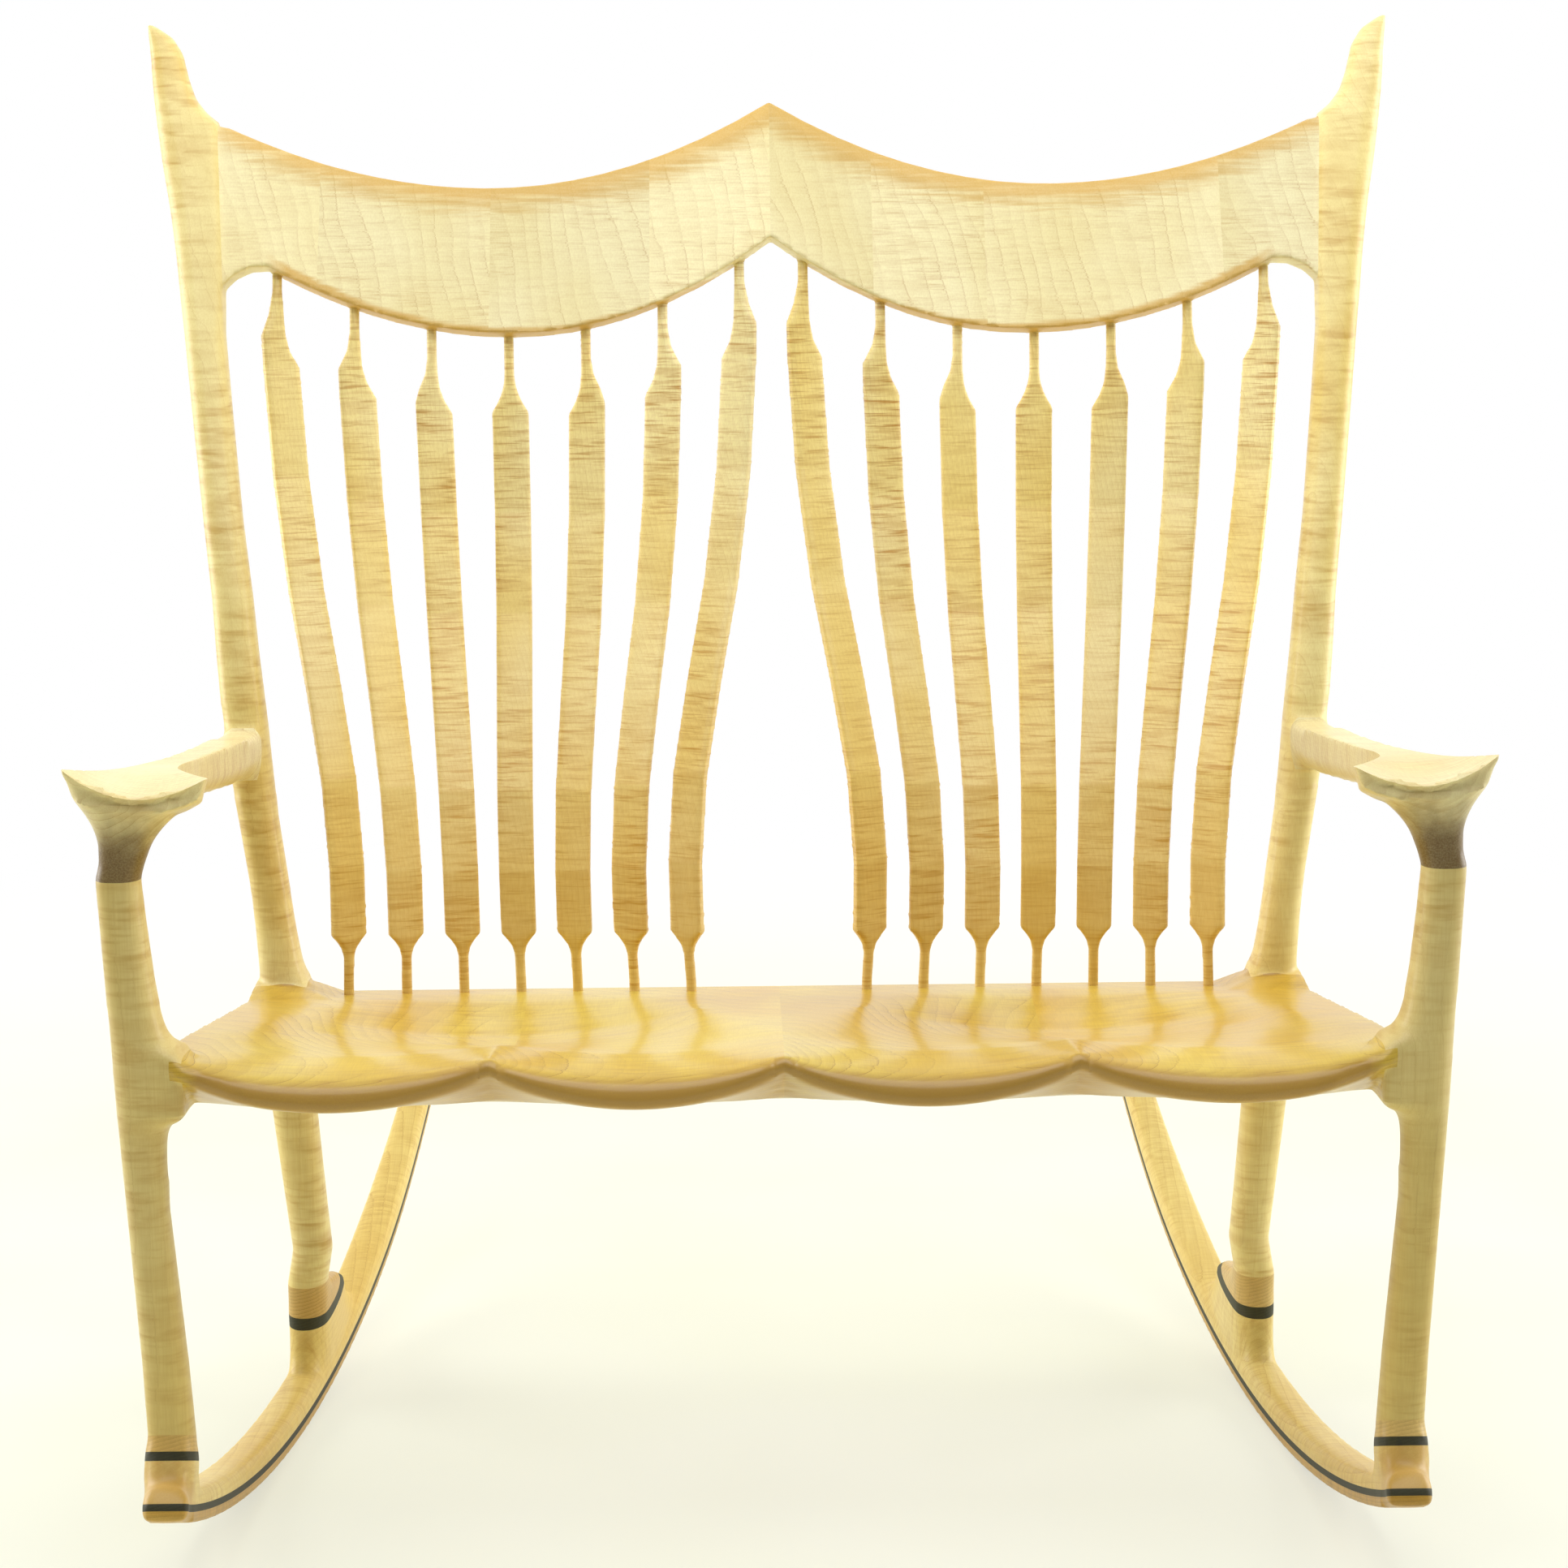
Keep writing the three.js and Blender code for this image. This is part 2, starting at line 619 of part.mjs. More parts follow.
// Arm: rows of place share from the front to the back leg, edge places and heights as shares
const armRowShares = [0, 0.02, 0.07, 0.14, 0.22, 0.32, 0.44, 0.58, 0.72, 0.84, 0.92, 1];
const armWidthShares = [
  [0, 1], [0.03, 0.985], [0.07, 0.93], [0.14, 0.77], [0.22, 0.6], [0.32, 0.43],
  [0.44, 0.31], [0.58, 0.28], [0.72, 0.285], [0.84, 0.31], [0.92, 0.33], [1, 0.34],
];
const armBellyShares = [
  [0, 0.32], [0.07, 0.5], [0.14, 0.72], [0.32, 0.82], [0.58, 0.88], [0.84, 1], [1, 1.06],
];

function armOuterX(t) {
  const rearX = backLegOuter(armRearHeight - arm.thickness / 4);
  return mix(armTipX, rearX + glueGap, t);
}

const armEnd = () => backLegY(armRearHeight) - backLeg.depth / 8;

function armSection(t, armLength) {
  const outer = armOuterX(t);
  const inner = outer - arm.paddleWidth * through(armWidthShares, t, 1);
  const edge = mix(armRearHeight, armTipHeight, (1 - t) ** 2);
  const paddle = (1 - smooth(t / 0.3));
  const belly = arm.thickness * through(armBellyShares, t, 1);
  const y = -arm.frontReach + t * armLength;
  const place = (u, z) => {
    const bow = arm.frontBow * u ** 2 * paddle;
    return new THREE.Vector3(mix((inner + outer) / 2, u > 0 ? outer : inner, Math.abs(u)), y + bow, z);
  };
  const top = (u) => edge - arm.dish * paddle * (1 - u ** 2) - arm.innerDrop * paddle * (1 - u) / 2;
  const under = (u) => top(0) - belly * Math.sqrt(1 - (0.82 * u) ** 2) + arm.dish * paddle * u ** 2 * 0.5;
  const low = (u) => Math.min(under(u), top(u) - belly * 0.2);
  const edgeShare = mix(0.97, 0.9, paddle);
  return [
    ...[-1, -0.7, -0.35, 0, 0.35, 0.7, 1].map((u) => place(u, top(u))),
    ...[edgeShare, 0.7, 0.3, -0.3, -0.7, -edgeShare].map((u) => place(u, low(u))),
  ];
}

// Goblet under the front of the arm, which narrows to the top of the front leg
const gobletShares = [[0, 0, 0, 0, 0], [0.2, 0.06, -0.18, 0.04, 0.06], [0.42, 0.155, -0.2, 0.22, 0.2],
  [0.62, 0.31, -0.06, 0.48, 0.42], [0.82, 0.54, 0.26, 0.75, 0.75], [1, 0.78, 0.62, 0.93, 1]];

function armGoblet() {
  const joint = frontLeg.topHeight + glueGap;
  const high = armTipHeight - arm.dish - arm.innerDrop;
  const outer = frontLeg.topOuterX;
  const inner = outer - frontLeg.width;
  const innerReach = inner - (armTipX - arm.paddleWidth);
  const outerReach = armTipX - outer;
  const half = frontLeg.depth * frontUpperShares[0][2] / 2;
  return loft(gobletShares.map(([t, ins, out, front, rear]) => {
    const [x0, x1] = [inner - ins * innerReach, outer + out * outerReach];
    const ahead = mix(half, arm.frontReach - arm.frontBow / 6, front);
    const behind = mix(half, arm.frontReach * 2, rear);
    const middle = (x0 + x1) / 2;
    return outline(legSides, middle - x0, x1 - middle, ahead, behind, mix(roundPower, 2.8, t))
      .map(([dx, dy]) => new THREE.Vector3(middle + dx, dy, mix(joint, high, t)));
  }));
}

function armBody() {
  const armLength = arm.frontReach + armEnd();
  return toSolid(loft(armRowShares.map((t) => armSection(t, armLength)))).add(toSolid(armGoblet()));
}

function armDowel(margin = 0) {
  const x = frontLeg.topOuterX - frontLeg.width / 2;
  const low = new THREE.Vector3(x, 0, frontLeg.topHeight - dowel.embed - margin);
  const high = new THREE.Vector3(x, 0, frontLeg.topHeight + dowel.embed + margin);
  return rod(low, high, dowel.diameter / 2 + margin, 12);
}

// Crest rail: two hollow places between the back legs, cut from staves glued side by side

const crestEndX = backLegInner(crestMidTop);
const crestMidX = crestEndX * crest.midShare;
const crestMidBottomX = crestEndX * crest.midBottomShare;

function crestTop(x) {
  const from = (Math.abs(x) - crestMidX) / crestMidX;
  return crestMidTop + (from > 0 ? crest.outerTopRise : crest.peakTopRise) * from ** 2;
}

function crestBottom(x) {
  const start = crestEndX - crest.endReach;
  const from = (Math.min(Math.abs(x), start) - crestMidBottomX) / crestMidBottomX;
  const arch = (from > 0 ? crest.outerBottomRise : crest.peakBottomRise) * from ** 2;
  const inside = clamp01((Math.abs(x) - start) / crest.endReach);
  return crestMidBottom + arch - crest.endDrop * (1 - Math.sqrt(1 - (inside * 0.98) ** 2));
}

function crestFront(x, z) {
  const from = (Math.abs(x) - crestMidX) / crestMidX;
  return backLegY(z) - crest.faceSetback + crest.dish * (1 - from ** 2);
}

// Front face from the bottom up, over the rounded top and down the back: height share, depth share
const crestShares = [[0, 0], [0.25, 0], [0.55, 0], [0.88, 0.03], [0.97, 0.18], [1, 0.5], [0.96, 0.88],
  [0.8, 1.02], [0.4, 1.05], [0.035, 0.9]];

function crestSection(x) {
  const [low, high] = [crestBottom(x), crestTop(x)];
  return crestShares.map(([h, depth]) => {
    const z = mix(low, high, h);
    const hollow = crest.hollow * 4 * h * (1 - h) * (depth < 0.5 ? 1 : 0);
    const deep = crest.thickness * depth;
    const y = crestFront(x, z) + hollow + deep * Math.cos(crest.lean);
    return new THREE.Vector3(x, y, z - deep * Math.sin(crest.lean));
  });
}

const crestStations = 22;
const stationPower = 1.4;

// The blank of the rail runs a little into the leg and is coped to it later
function crestBody() {
  const stations = Array.from({ length: 2 * crestStations + 1 }, (_, k) => {
    const share = (k - crestStations) / crestStations;
    return Math.sign(share) * (1 - (1 - Math.abs(share)) ** stationPower) * crestEndX;
  });
  const rings = stations.map((x, k) => {
    const ring = crestSection(x);
    if (k > 0 && k < stations.length - 1) return ring;
    return ring.map((p) => p.setX(Math.sign(x) * (backLegInner(p.z) + crest.jointReach)));
  });
  return toSolid(loft(rings));
}

// Glue lines between the staves, as shares of the half length
const crestSeamShares = [-1.1, -0.82, -0.51, -0.22, 0, 0.185, 0.39, 0.82, 1.1];

// Upright slab that keeps what lies between two places in X
function slab(x0, x1) {
  const high = backLeg.hornHeight * 1.1;
  const box = new THREE.BoxGeometry(x1 - x0, high * 2, high);
  box.translate((x0 + x1) / 2, 0, high / 2);
  box.deleteAttribute('normal');
  box.deleteAttribute('uv');
  return toSolid(box);
}

// Spindles: flat bent blades with round necks that are tenoned into the seat and the crest rail

const lowerFlareShares = [1, 0.6, 0.25, 0];
const upperFlareShares = [0, 0.22, 0.45, 0.72, 1];
const bladeShares = [0.12, 0.27, 0.43, 0.6, 0.8];

// Ends and bend of the spindle at place k, from -1 at the middle of the bench to 1 at its side
function spindleLine(k) {
  const seatX = mix(spindle.seatInnerX, backLeg.notchX - spindle.seatOuterInset, (1 + k) / 2);
  const crestX = mix(spindle.crestInnerX, crestEndX - crest.endReach - spindle.crestOuterInset, (1 + k) / 2);
  const y0 = spindle.rowBehind - spindle.rowArc * k ** 2;
  const low = new THREE.Vector3(seatX, y0, seatTop(seatX, y0));
  const z = crestBottom(crestX);
  const middle = crest.thickness * 0.45;
  const high = new THREE.Vector3(
    crestX,
    crestFront(crestX, z) + middle * Math.cos(crest.lean),
    z - middle * Math.sin(crest.lean),
  );
  return { low, high, turn: spindle.turn * k };
}

// Point of the bent line at a distance from the seat; tenons run on straight
function spindlePoint(line, distance) {
  const length = line.high.distanceTo(line.low);
  const t = clamp01(distance / length);
  const bend = spindle.lumbar * Math.sin(2 * Math.PI * t) * (t > 0.5 ? 0.5 : 1);
  const point = line.low.clone().lerp(line.high, t);
  point.x -= bend * Math.sin(line.turn);
  point.y -= bend * Math.cos(line.turn);
  if (distance < 0) point.z += distance;
  if (distance > length) {
    point.y += (distance - length) * Math.sin(crest.lean);
    point.z += (distance - length) * Math.cos(crest.lean);
  }
  return point;
}

function spindleRing(line, distance, left, right, thickness, power, margin) {
  const step = spindle.neck / 4;
  const tangent = spindlePoint(line, distance + step).sub(spindlePoint(line, distance - step)).normalize();
  const across = new THREE.Vector3(Math.cos(line.turn), -Math.sin(line.turn), 0);
  const facing = tangent.clone().cross(across).normalize();
  const centre = spindlePoint(line, distance);
  return outline(8, left + margin, right + margin, thickness / 2 + margin, thickness / 2 + margin, power)
    .map(([a, b]) => centre.clone().addScaledVector(across, a).addScaledVector(facing, b));
}

function spindleBody(k, margin = 0) {
  const line = spindleLine(k);
  const length = line.high.distanceTo(line.low);
  const neck = spindle.neck / 2;
  const blade = (distance) => mix(spindle.seatWidth, spindle.crestWidth, distance / length) / 2;
  const start = spindle.lowerNeck + spindle.lowerShoulder;
  const slant = spindle.upperSlant * Math.sign(k) * Math.abs(k) ** 0.7;
  const leftEnd = length - spindle.upperNeck - slant;
  const rightEnd = length - spindle.upperNeck + slant;
  const lowest = Math.min(leftEnd, rightEnd);
  const highest = Math.max(leftEnd, rightEnd) + spindle.upperShoulder;
  const half = (distance, end) => {
    const low = clamp01((distance - spindle.lowerNeck) / spindle.lowerShoulder);
    const high = clamp01((end + spindle.upperShoulder - distance) / spindle.upperShoulder);
    return mix(neck, blade(distance), Math.min(low, high) ** 2);
  };
  const ring = (distance) => {
    const [left, right] = [half(distance, leftEnd), half(distance, rightEnd)];
    const flat = clamp01((left + right - 2 * neck) / (blade(distance) - neck));
    const thickness = mix(spindle.neck, spindle.thickness, flat);
    return spindleRing(line, distance, left, right, thickness, mix(2, 5, flat), margin);
  };
  const places = [
    -spindle.tenon - margin, spindle.lowerNeck * 0.3,
    ...lowerFlareShares.map((t) => start - t * spindle.lowerShoulder),
    ...bladeShares.map((t) => mix(start, lowest, t)),
    ...upperFlareShares.map((t) => mix(lowest, highest, t)),
    length + spindle.tenon + margin,
  ];
  return loft(places.map(ring));
}

// Screws that hold the seat, the arms and the crest rail to the legs, hidden in their holes

const screwHeightShare = 0.45;
const screwInsetShare = 0.75;
const screwDepthShare = 0.8;

function crossScrew(outerX, innerX, y, z, margin = 0) {
  const from = new THREE.Vector3(outerX + margin, y, z);
  const to = new THREE.Vector3(innerX - margin, y, z);
  return rod(from, to, screw.diameter / 2 + margin, 8);
}

function seatScrew(place, margin = 0) {
  const front = place === 'front';
  const leg = front ? frontLeg : backLeg;
  const y = front ? 0 : backLeg.behind;
  const z = seatPlane(y) - seat.thickness / 2;
  const outer = (front ? frontLeg.topOuterX : backLeg.seatOuterX) - screw.countersink - glueGap * 2;
  return crossScrew(outer, leg.notchX - screw.embed, y, z, margin);
}

function crestScrew(margin = 0) {
  const z = (crestTop(crestEndX) + crestBottom(crestEndX - crest.endReach)) / 2;
  const front = mix(crestFront(crestEndX, z), crestFront(crestEndX - screw.embed, z), 1 / 2);
  const y = front + crest.hollow + crest.thickness / 2;
  return crossScrew(crestEndX + backLeg.width * screwDepthShare, crestEndX - screw.embed, y, z, margin);
}

function armScrew(margin = 0) {
  const z = armRearHeight - arm.thickness * screwHeightShare;
  const x = armOuterX(1) - arm.waistWidth * screwInsetShare;
  const y = backLegY(z);
  const from = new THREE.Vector3(x, y + backLeg.depth / 5 + margin, z);
  const to = new THREE.Vector3(x, y - backLeg.depth / 2 - screw.embed - margin, z);
  return rod(from, to, screw.diameter / 2 + margin, 8);
}

// Woods and metal

const wood = (colour, roughness = 0.35) => ({ color: colour, roughness, metalness: 0 });
const finishes = {
  maple: wood(0xe0c080),
  seatMaple: wood(0xd9ae5f, 0.3),
  darkMaple: wood(0xc79a58),
  blackwood: wood(0x2c2a26, 0.3),
  birch: wood(0xdcc69a, 0.6),
  steel: { color: 0x9a9a96, roughness: 0.4, metalness: 1 },
};

const bench = new THREE.Group();
const assembly = new THREE.Group();
assembly.position.y = -middleBehind;
bench.add(assembly);

function place(name, geometry, finish) {
  const mesh = new THREE.Mesh(geometry, new THREE.MeshStandardMaterial(finishes[finish]));
  mesh.name = name;
  assembly.add(mesh);
}

function placePair(name, geometry, finish) {
  place(`${name}_right`, geometry, finish);
  place(`${name}_left`, mirrored(geometry), finish);
}

const places = { front: frontFoot, back: backFoot };
const footDowels = Object.values(places).map((foot) => toSolid(footDowel(foot, glueGap)));
const spindleShares = Array.from({ length: spindle.perPlace }, (_, k) => 2 * k / (spindle.perPlace - 1) - 1);
const spindleHoles = spindleShares.map((k) => toSolid(spindleBody(k, glueGap)));

// Rockers with their built-up leg seats, and the laminated feet of the legs
placePair('rocker_sole', lamination(soleSection), 'maple');
placePair('rocker_veneer', lamination(veneerSection), 'blackwood');
const rockerBody = Object.entries(places).reduce(
  (body, [name, foot]) => body.add(toSolid(riser(foot, footShares[name]))), toSolid(lamination(bodySection)));
placePair('rocker_body', toGeometry(cut(rockerBody, footDowels)), 'maple');
for (const [name, foot] of Object.entries(places)) {
  const [spacer, block] = [footSpacer, footBlock].map((shape) => toSolid(shape(foot, footShares[name])));
  placePair(`${name}_foot_spacer`, toGeometry(cut(spacer, footDowels)), 'blackwood');
  placePair(`${name}_foot_block`, toGeometry(cut(block, footDowels)), 'darkMaple');
  placePair(`${name}_foot_dowel`, footDowel(foot), 'birch');
}

// Legs, bored for their dowels and screws
const frontBores = [armDowel(glueGap), seatScrew('front', glueGap)].map(toSolid);
placePair('front_leg', toGeometry(cut(toSolid(frontLegBody()), [...footDowels, ...frontBores])), 'maple');
const backBores = [seatScrew('back', glueGap), crestScrew(glueGap), armScrew(glueGap)].map(toSolid);
placePair('back_leg', toGeometry(cut(toSolid(backLegBody()), [...footDowels, ...backBores])), 'maple');

// Seat boards, notched round the legs and bored for the spindles
const legNotches = [frontLegBody(glueGap), backLegBody(glueGap)].map(toSolid);
const seatBores = [seatScrew('front', glueGap), seatScrew('back', glueGap)].map(toSolid);
const innerBoard = toSolid(seatBoard(glueGap / 2, ridgeX - glueGap / 2));
const outerBoard = toSolid(seatBoard(ridgeX + glueGap / 2, null));
placePair('seat_inner_board', toGeometry(cut(innerBoard, spindleHoles)), 'seatMaple');
const outerCutters = [...legNotches, ...seatBores, ...spindleHoles];
placePair('seat_outer_board', toGeometry(cut(outerBoard, outerCutters)), 'seatMaple');

// Arms
const armCutters = [legNotches[1], toSolid(armDowel(glueGap)), toSolid(armScrew(glueGap))];
placePair('arm', toGeometry(cut(armBody(), armCutters)), 'maple');
placePair('arm_dowel', armDowel(), 'birch');
placePair('arm_screw', armScrew(), 'steel');
placePair('front_seat_screw', seatScrew('front'), 'steel');
placePair('back_seat_screw', seatScrew('back'), 'steel');
placePair('crest_screw', crestScrew(), 'steel');

// Crest rail, sawn into its staves
const leftSide = (cutter) => toSolid(mirrored(toGeometry(cutter)));
const crestCutters = [toSolid(crestScrew(glueGap)), legNotches[1], ...spindleHoles];
const wholeCrest = cut(crestBody(), [...crestCutters, ...crestCutters.map(leftSide)]);
for (let k = 0; k < crestSeamShares.length - 1; k += 1) {
  const [x0, x1] = [crestSeamShares[k], crestSeamShares[k + 1]].map((share) => share * crestEndX);
  const stave = wholeCrest.intersect(slab(x0 + glueGap / 2, x1 - glueGap / 2));
  place(`crest_stave_${k + 1}`, toGeometry(stave), 'maple');
}

// Spindles, numbered from the middle of the bench to its side
spindleShares.forEach((k, number) => {
  placePair(`spindle_${number + 1}`, toGeometry(toSolid(spindleBody(k))), 'maple');
});

export default bench;
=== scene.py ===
import json
import math
import bpy
from mathutils import Matrix, Vector
from mathutils.kdtree import KDTree

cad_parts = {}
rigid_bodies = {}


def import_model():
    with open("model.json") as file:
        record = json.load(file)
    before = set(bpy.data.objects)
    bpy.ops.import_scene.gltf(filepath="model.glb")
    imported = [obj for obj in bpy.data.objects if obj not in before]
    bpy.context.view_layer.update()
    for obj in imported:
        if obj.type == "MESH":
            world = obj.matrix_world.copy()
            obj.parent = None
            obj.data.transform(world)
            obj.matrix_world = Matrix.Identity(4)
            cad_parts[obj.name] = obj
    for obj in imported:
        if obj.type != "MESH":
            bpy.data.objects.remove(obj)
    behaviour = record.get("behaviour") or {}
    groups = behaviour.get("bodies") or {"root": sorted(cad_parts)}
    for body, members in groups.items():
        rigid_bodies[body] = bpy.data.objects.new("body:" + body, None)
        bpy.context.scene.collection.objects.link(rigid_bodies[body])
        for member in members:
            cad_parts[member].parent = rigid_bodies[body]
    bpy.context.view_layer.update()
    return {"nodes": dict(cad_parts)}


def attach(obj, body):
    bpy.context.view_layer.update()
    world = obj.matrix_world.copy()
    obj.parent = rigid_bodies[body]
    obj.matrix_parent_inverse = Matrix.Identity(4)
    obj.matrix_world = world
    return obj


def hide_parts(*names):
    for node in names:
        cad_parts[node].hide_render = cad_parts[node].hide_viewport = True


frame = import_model()

# Camera: on a stand in front of the bench, a little above the arms, looking slightly down at the seat.
# A short telephoto lens and a square frame, turned and leaned half a degree to the right.
camera_place = (-0.0202, -2.7238, 0.9853)
camera_turn = -0.545  # degrees
camera_dip = 9.3
camera_lean = -0.509
camera_data = bpy.data.cameras.new("camera")
camera_data.lens = 75.0
camera_data.sensor_width = 36.0
camera_data.sensor_fit = "HORIZONTAL"
camera = bpy.data.objects.new("camera", camera_data)
bpy.context.scene.collection.objects.link(camera)
bpy.context.scene.camera = camera
bpy.context.scene.view_settings.view_transform = "Standard"
turned = Matrix.Rotation(math.radians(camera_turn), 4, "Z")
dipped = Matrix.Rotation(math.radians(90 - camera_dip), 4, "X")
leaned = Matrix.Rotation(math.radians(camera_lean), 4, "Z")
camera.matrix_world = Matrix.Translation(camera_place) @ turned @ dipped @ leaned

# Studio: a seamless white paper background that runs forward under the bench as a pale cream floor.
# Near the bench it is matt and holds a faint shadow, and further off it burns out to white.
floor_width = 16.0
floor_middle = (0, 3.0, 0)
matt_spot = (0, 0.4, 0)  # the middle of the matt part
matt_reach = 0.8  # metres from that spot to where the paper starts to burn out
cream_reach = 1.8  # to where its glow has lost the last cream
shadow_reach = 2.4  # and to where it takes no shadow at all
cloud_size = 625  # mm, the soft clouds in its tone


def linear(code, alpha=1.0):
    """An sRGB hex colour as the linear one that a shader takes."""
    parts = [int(code[i:i + 2], 16) / 255 for i in (1, 3, 5)]
    return [c / 12.92 if c <= 0.04045 else ((c + 0.055) / 1.055) ** 2.4 for c in parts] + [alpha]


def add(tree, kind, links=None, **settings):
    """A node with its settings, and each of its inputs linked or set."""
    made = tree.nodes.new("ShaderNode" + kind)
    for key, value in settings.items():
        setattr(made, key, value)
    for key, value in (links or {}).items():
        if isinstance(value, bpy.types.NodeSocket):
            tree.links.new(value, made.inputs[key])
        else:
            made.inputs[key].default_value = value
    return made


bpy.ops.object.select_all(action="DESELECT")
bpy.ops.mesh.primitive_grid_add(x_subdivisions=24, y_subdivisions=24, size=floor_width, location=floor_middle)
floor = bpy.context.active_object
floor.name = "paper_floor"
bpy.ops.object.transform_apply(location=True, rotation=True, scale=True)

# matt paper has no shine of its own, only two whites in soft clouds
paper = bpy.data.materials.new("paper_seamless_matt")
paper.use_nodes = True
tree = paper.node_tree
tree.nodes.clear()
place = add(tree, "TexCoord").outputs["Object"]
reach = add(tree, "VectorMath", {0: place, 1: matt_spot}, operation="DISTANCE").outputs["Value"]
cloud = add(tree, "TexNoise", {"Vector": place, "Scale": 1000 / cloud_size, "Detail": 3.0}).outputs[0]
clouds = add(tree, "MapRange", {0: cloud, 1: 0.3, 2: 0.7}).outputs[0]
tone = add(tree, "Mix", {0: clouds, 6: linear("#F6F8E2"), 7: linear("#FAFBEA")}, data_type="RGBA").outputs[2]
matt = add(tree, "BsdfDiffuse", {"Color": tone}).outputs[0]
glow = add(tree, "Mix", {0: clouds, 6: linear("#F8FAEC"), 7: linear("#FCFEF6")}, data_type="RGBA").outputs[2]
far = add(tree, "MapRange", {0: reach, 1: matt_reach, 2: cream_reach},
          interpolation_type="SMOOTHSTEP").outputs[0]
glow = add(tree, "Mix", {0: far, 6: glow, 7: (1, 1, 1, 1)}, data_type="RGBA").outputs[2]
white = add(tree, "Emission", {"Color": glow, "Strength": 1.0}).outputs[0]
rays = add(tree, "LightPath").outputs
seen = add(tree, "Math", {0: rays["Is Camera Ray"], 1: rays["Is Glossy Ray"]}, operation="MAXIMUM").outputs[0]
seen = add(tree, "Math", {0: seen, 1: rays["Is Transmission Ray"]}, operation="MAXIMUM").outputs[0]
burnt = add(tree, "MapRange", {0: reach, 1: matt_reach, 2: shadow_reach, 3: 0.64, 4: 1.0},
            interpolation_type="SMOOTHSTEP").outputs[0]
burnt = add(tree, "Math", {0: seen, 1: burnt}, operation="MULTIPLY").outputs[0]
mixed = add(tree, "MixShader", {0: burnt, 1: matt, 2: white}).outputs[0]
add(tree, "OutputMaterial", {"Surface": mixed})
floor.data.materials.append(paper)

# Light: white paper walls all round, a large soft box above, and soft boxes at both sides and behind, which
# make the pale edges. On the camera's side the room is darker, so faces that look forward are deeper.
world = bpy.data.worlds.new("white_room")
bpy.context.scene.world = world
world.use_nodes = True
tree = world.node_tree
tree.nodes.clear()
way = add(tree, "SeparateXYZ", {0: add(tree, "TexCoord").outputs["Generated"]}).outputs
bright = add(tree, "MapRange", {0: way["Y"], 1: -0.6, 2: 0.3, 3: 0.2, 4: 1.0},
             interpolation_type="SMOOTHSTEP").outputs[0]
room = add(tree, "Background", {"Color": linear("#BEB7A2"), "Strength": bright}).outputs[0]
mirror = add(tree, "Background", {"Color": (1, 1, 1, 1), "Strength": bright}).outputs[0]
backdrop = add(tree, "Background", {"Color": (1, 1, 1, 1), "Strength": 1.0}).outputs[0]
rays = add(tree, "LightPath").outputs
gloss = add(tree, "Math", {0: rays["Is Glossy Ray"], 1: rays["Is Transmission Ray"]},
            operation="MAXIMUM").outputs[0]
walls = add(tree, "MixShader", {0: gloss, 1: room, 2: mirror}).outputs[0]
walls = add(tree, "MixShader", {0: rays["Is Camera Ray"], 1: walls, 2: backdrop}).outputs[0]
add(tree, "OutputWorld", {"Surface": walls})

# where each box stands and aims, its width and height, in metres, and its power in watts
soft_boxes = {
    "above": ((0.0, -0.6, 2.7), (0.0, 0.3, 0.8), 2.8, 2.0, 52.0),
    "left": ((-2.9, 0.7, 1.3), (0.0, 0.0, 0.6), 2.0, 2.2, 62.0),
    "right": ((2.9, 0.7, 1.3), (0.0, 0.0, 0.6), 2.0, 2.2, 62.0),
    "behind": ((0.0, 3.4, 1.8), (0.0, 0.0, 0.6), 3.2, 2.2, 44.0),
}
for box_name, (stand, aim, wide, high, power) in soft_boxes.items():
    lamp_data = bpy.data.lights.new(f"soft_box_{box_name}", "AREA")
    lamp_data.shape = "RECTANGLE"
    lamp_data.size = wide
    lamp_data.size_y = high
    lamp_data.energy = power
    lamp = bpy.data.objects.new(f"soft_box_{box_name}", lamp_data)
    bpy.context.scene.collection.objects.link(lamp)
    lamp.location = stand
    lamp.rotation_euler = (Vector(aim) - Vector(stand)).to_track_quat("-Z", "Y").to_euler()
    lamp.visible_camera = False
    lamp.visible_glossy = box_name != "behind"

# Blank of the bench's right half: the maker glues up seat, legs, arm, rocker and crest rail and then carves
# and sands over the joints, so that every joint is flush. The right half is faired here as one body, with
# the spindle holes plugged, and each piece is then sawn from it along its glue lines.
middle_behind = 414.5  # mm from the front legs' axis to the middle of the bench's depth
leg_side = 450  # mm from the middle of the bench, a place inside both legs and the rocker
coarse = 2.0  # mm, width of the faces that the fairing works with
blank_growth = 0.00035  # metres, what each piece's copy grows by to close its glue gaps
sole_radius = 920  # mm, the arc of the rocker's sole
sole_behind = 318  # mm, its centre behind the front legs' axis
seat_seam = 211  # mm from the middle of the bench to the seam between an inner and an outer board


def at(x, behind, z):
    """A place in metres, from mm to the right, behind the front legs' axis and above the floor."""
    return Vector((x / 1000, (behind - middle_behind) / 1000, z / 1000))


def pick(*objects):
    """Selects these objects and no others. The first is the active one."""
    bpy.ops.object.select_all(action="DESELECT")
    for piece in objects:
        piece.select_set(True)
    bpy.context.view_layer.objects.active = objects[0]


def finish_with(piece, kind, **settings):
    """Adds a modifier to the piece and applies it."""
    modifier = piece.modifiers.new(kind.lower(), kind)
    for key, value in settings.items():
        setattr(modifier, key, value)
    pick(piece)
    bpy.ops.object.modifier_apply(modifier=modifier.name)


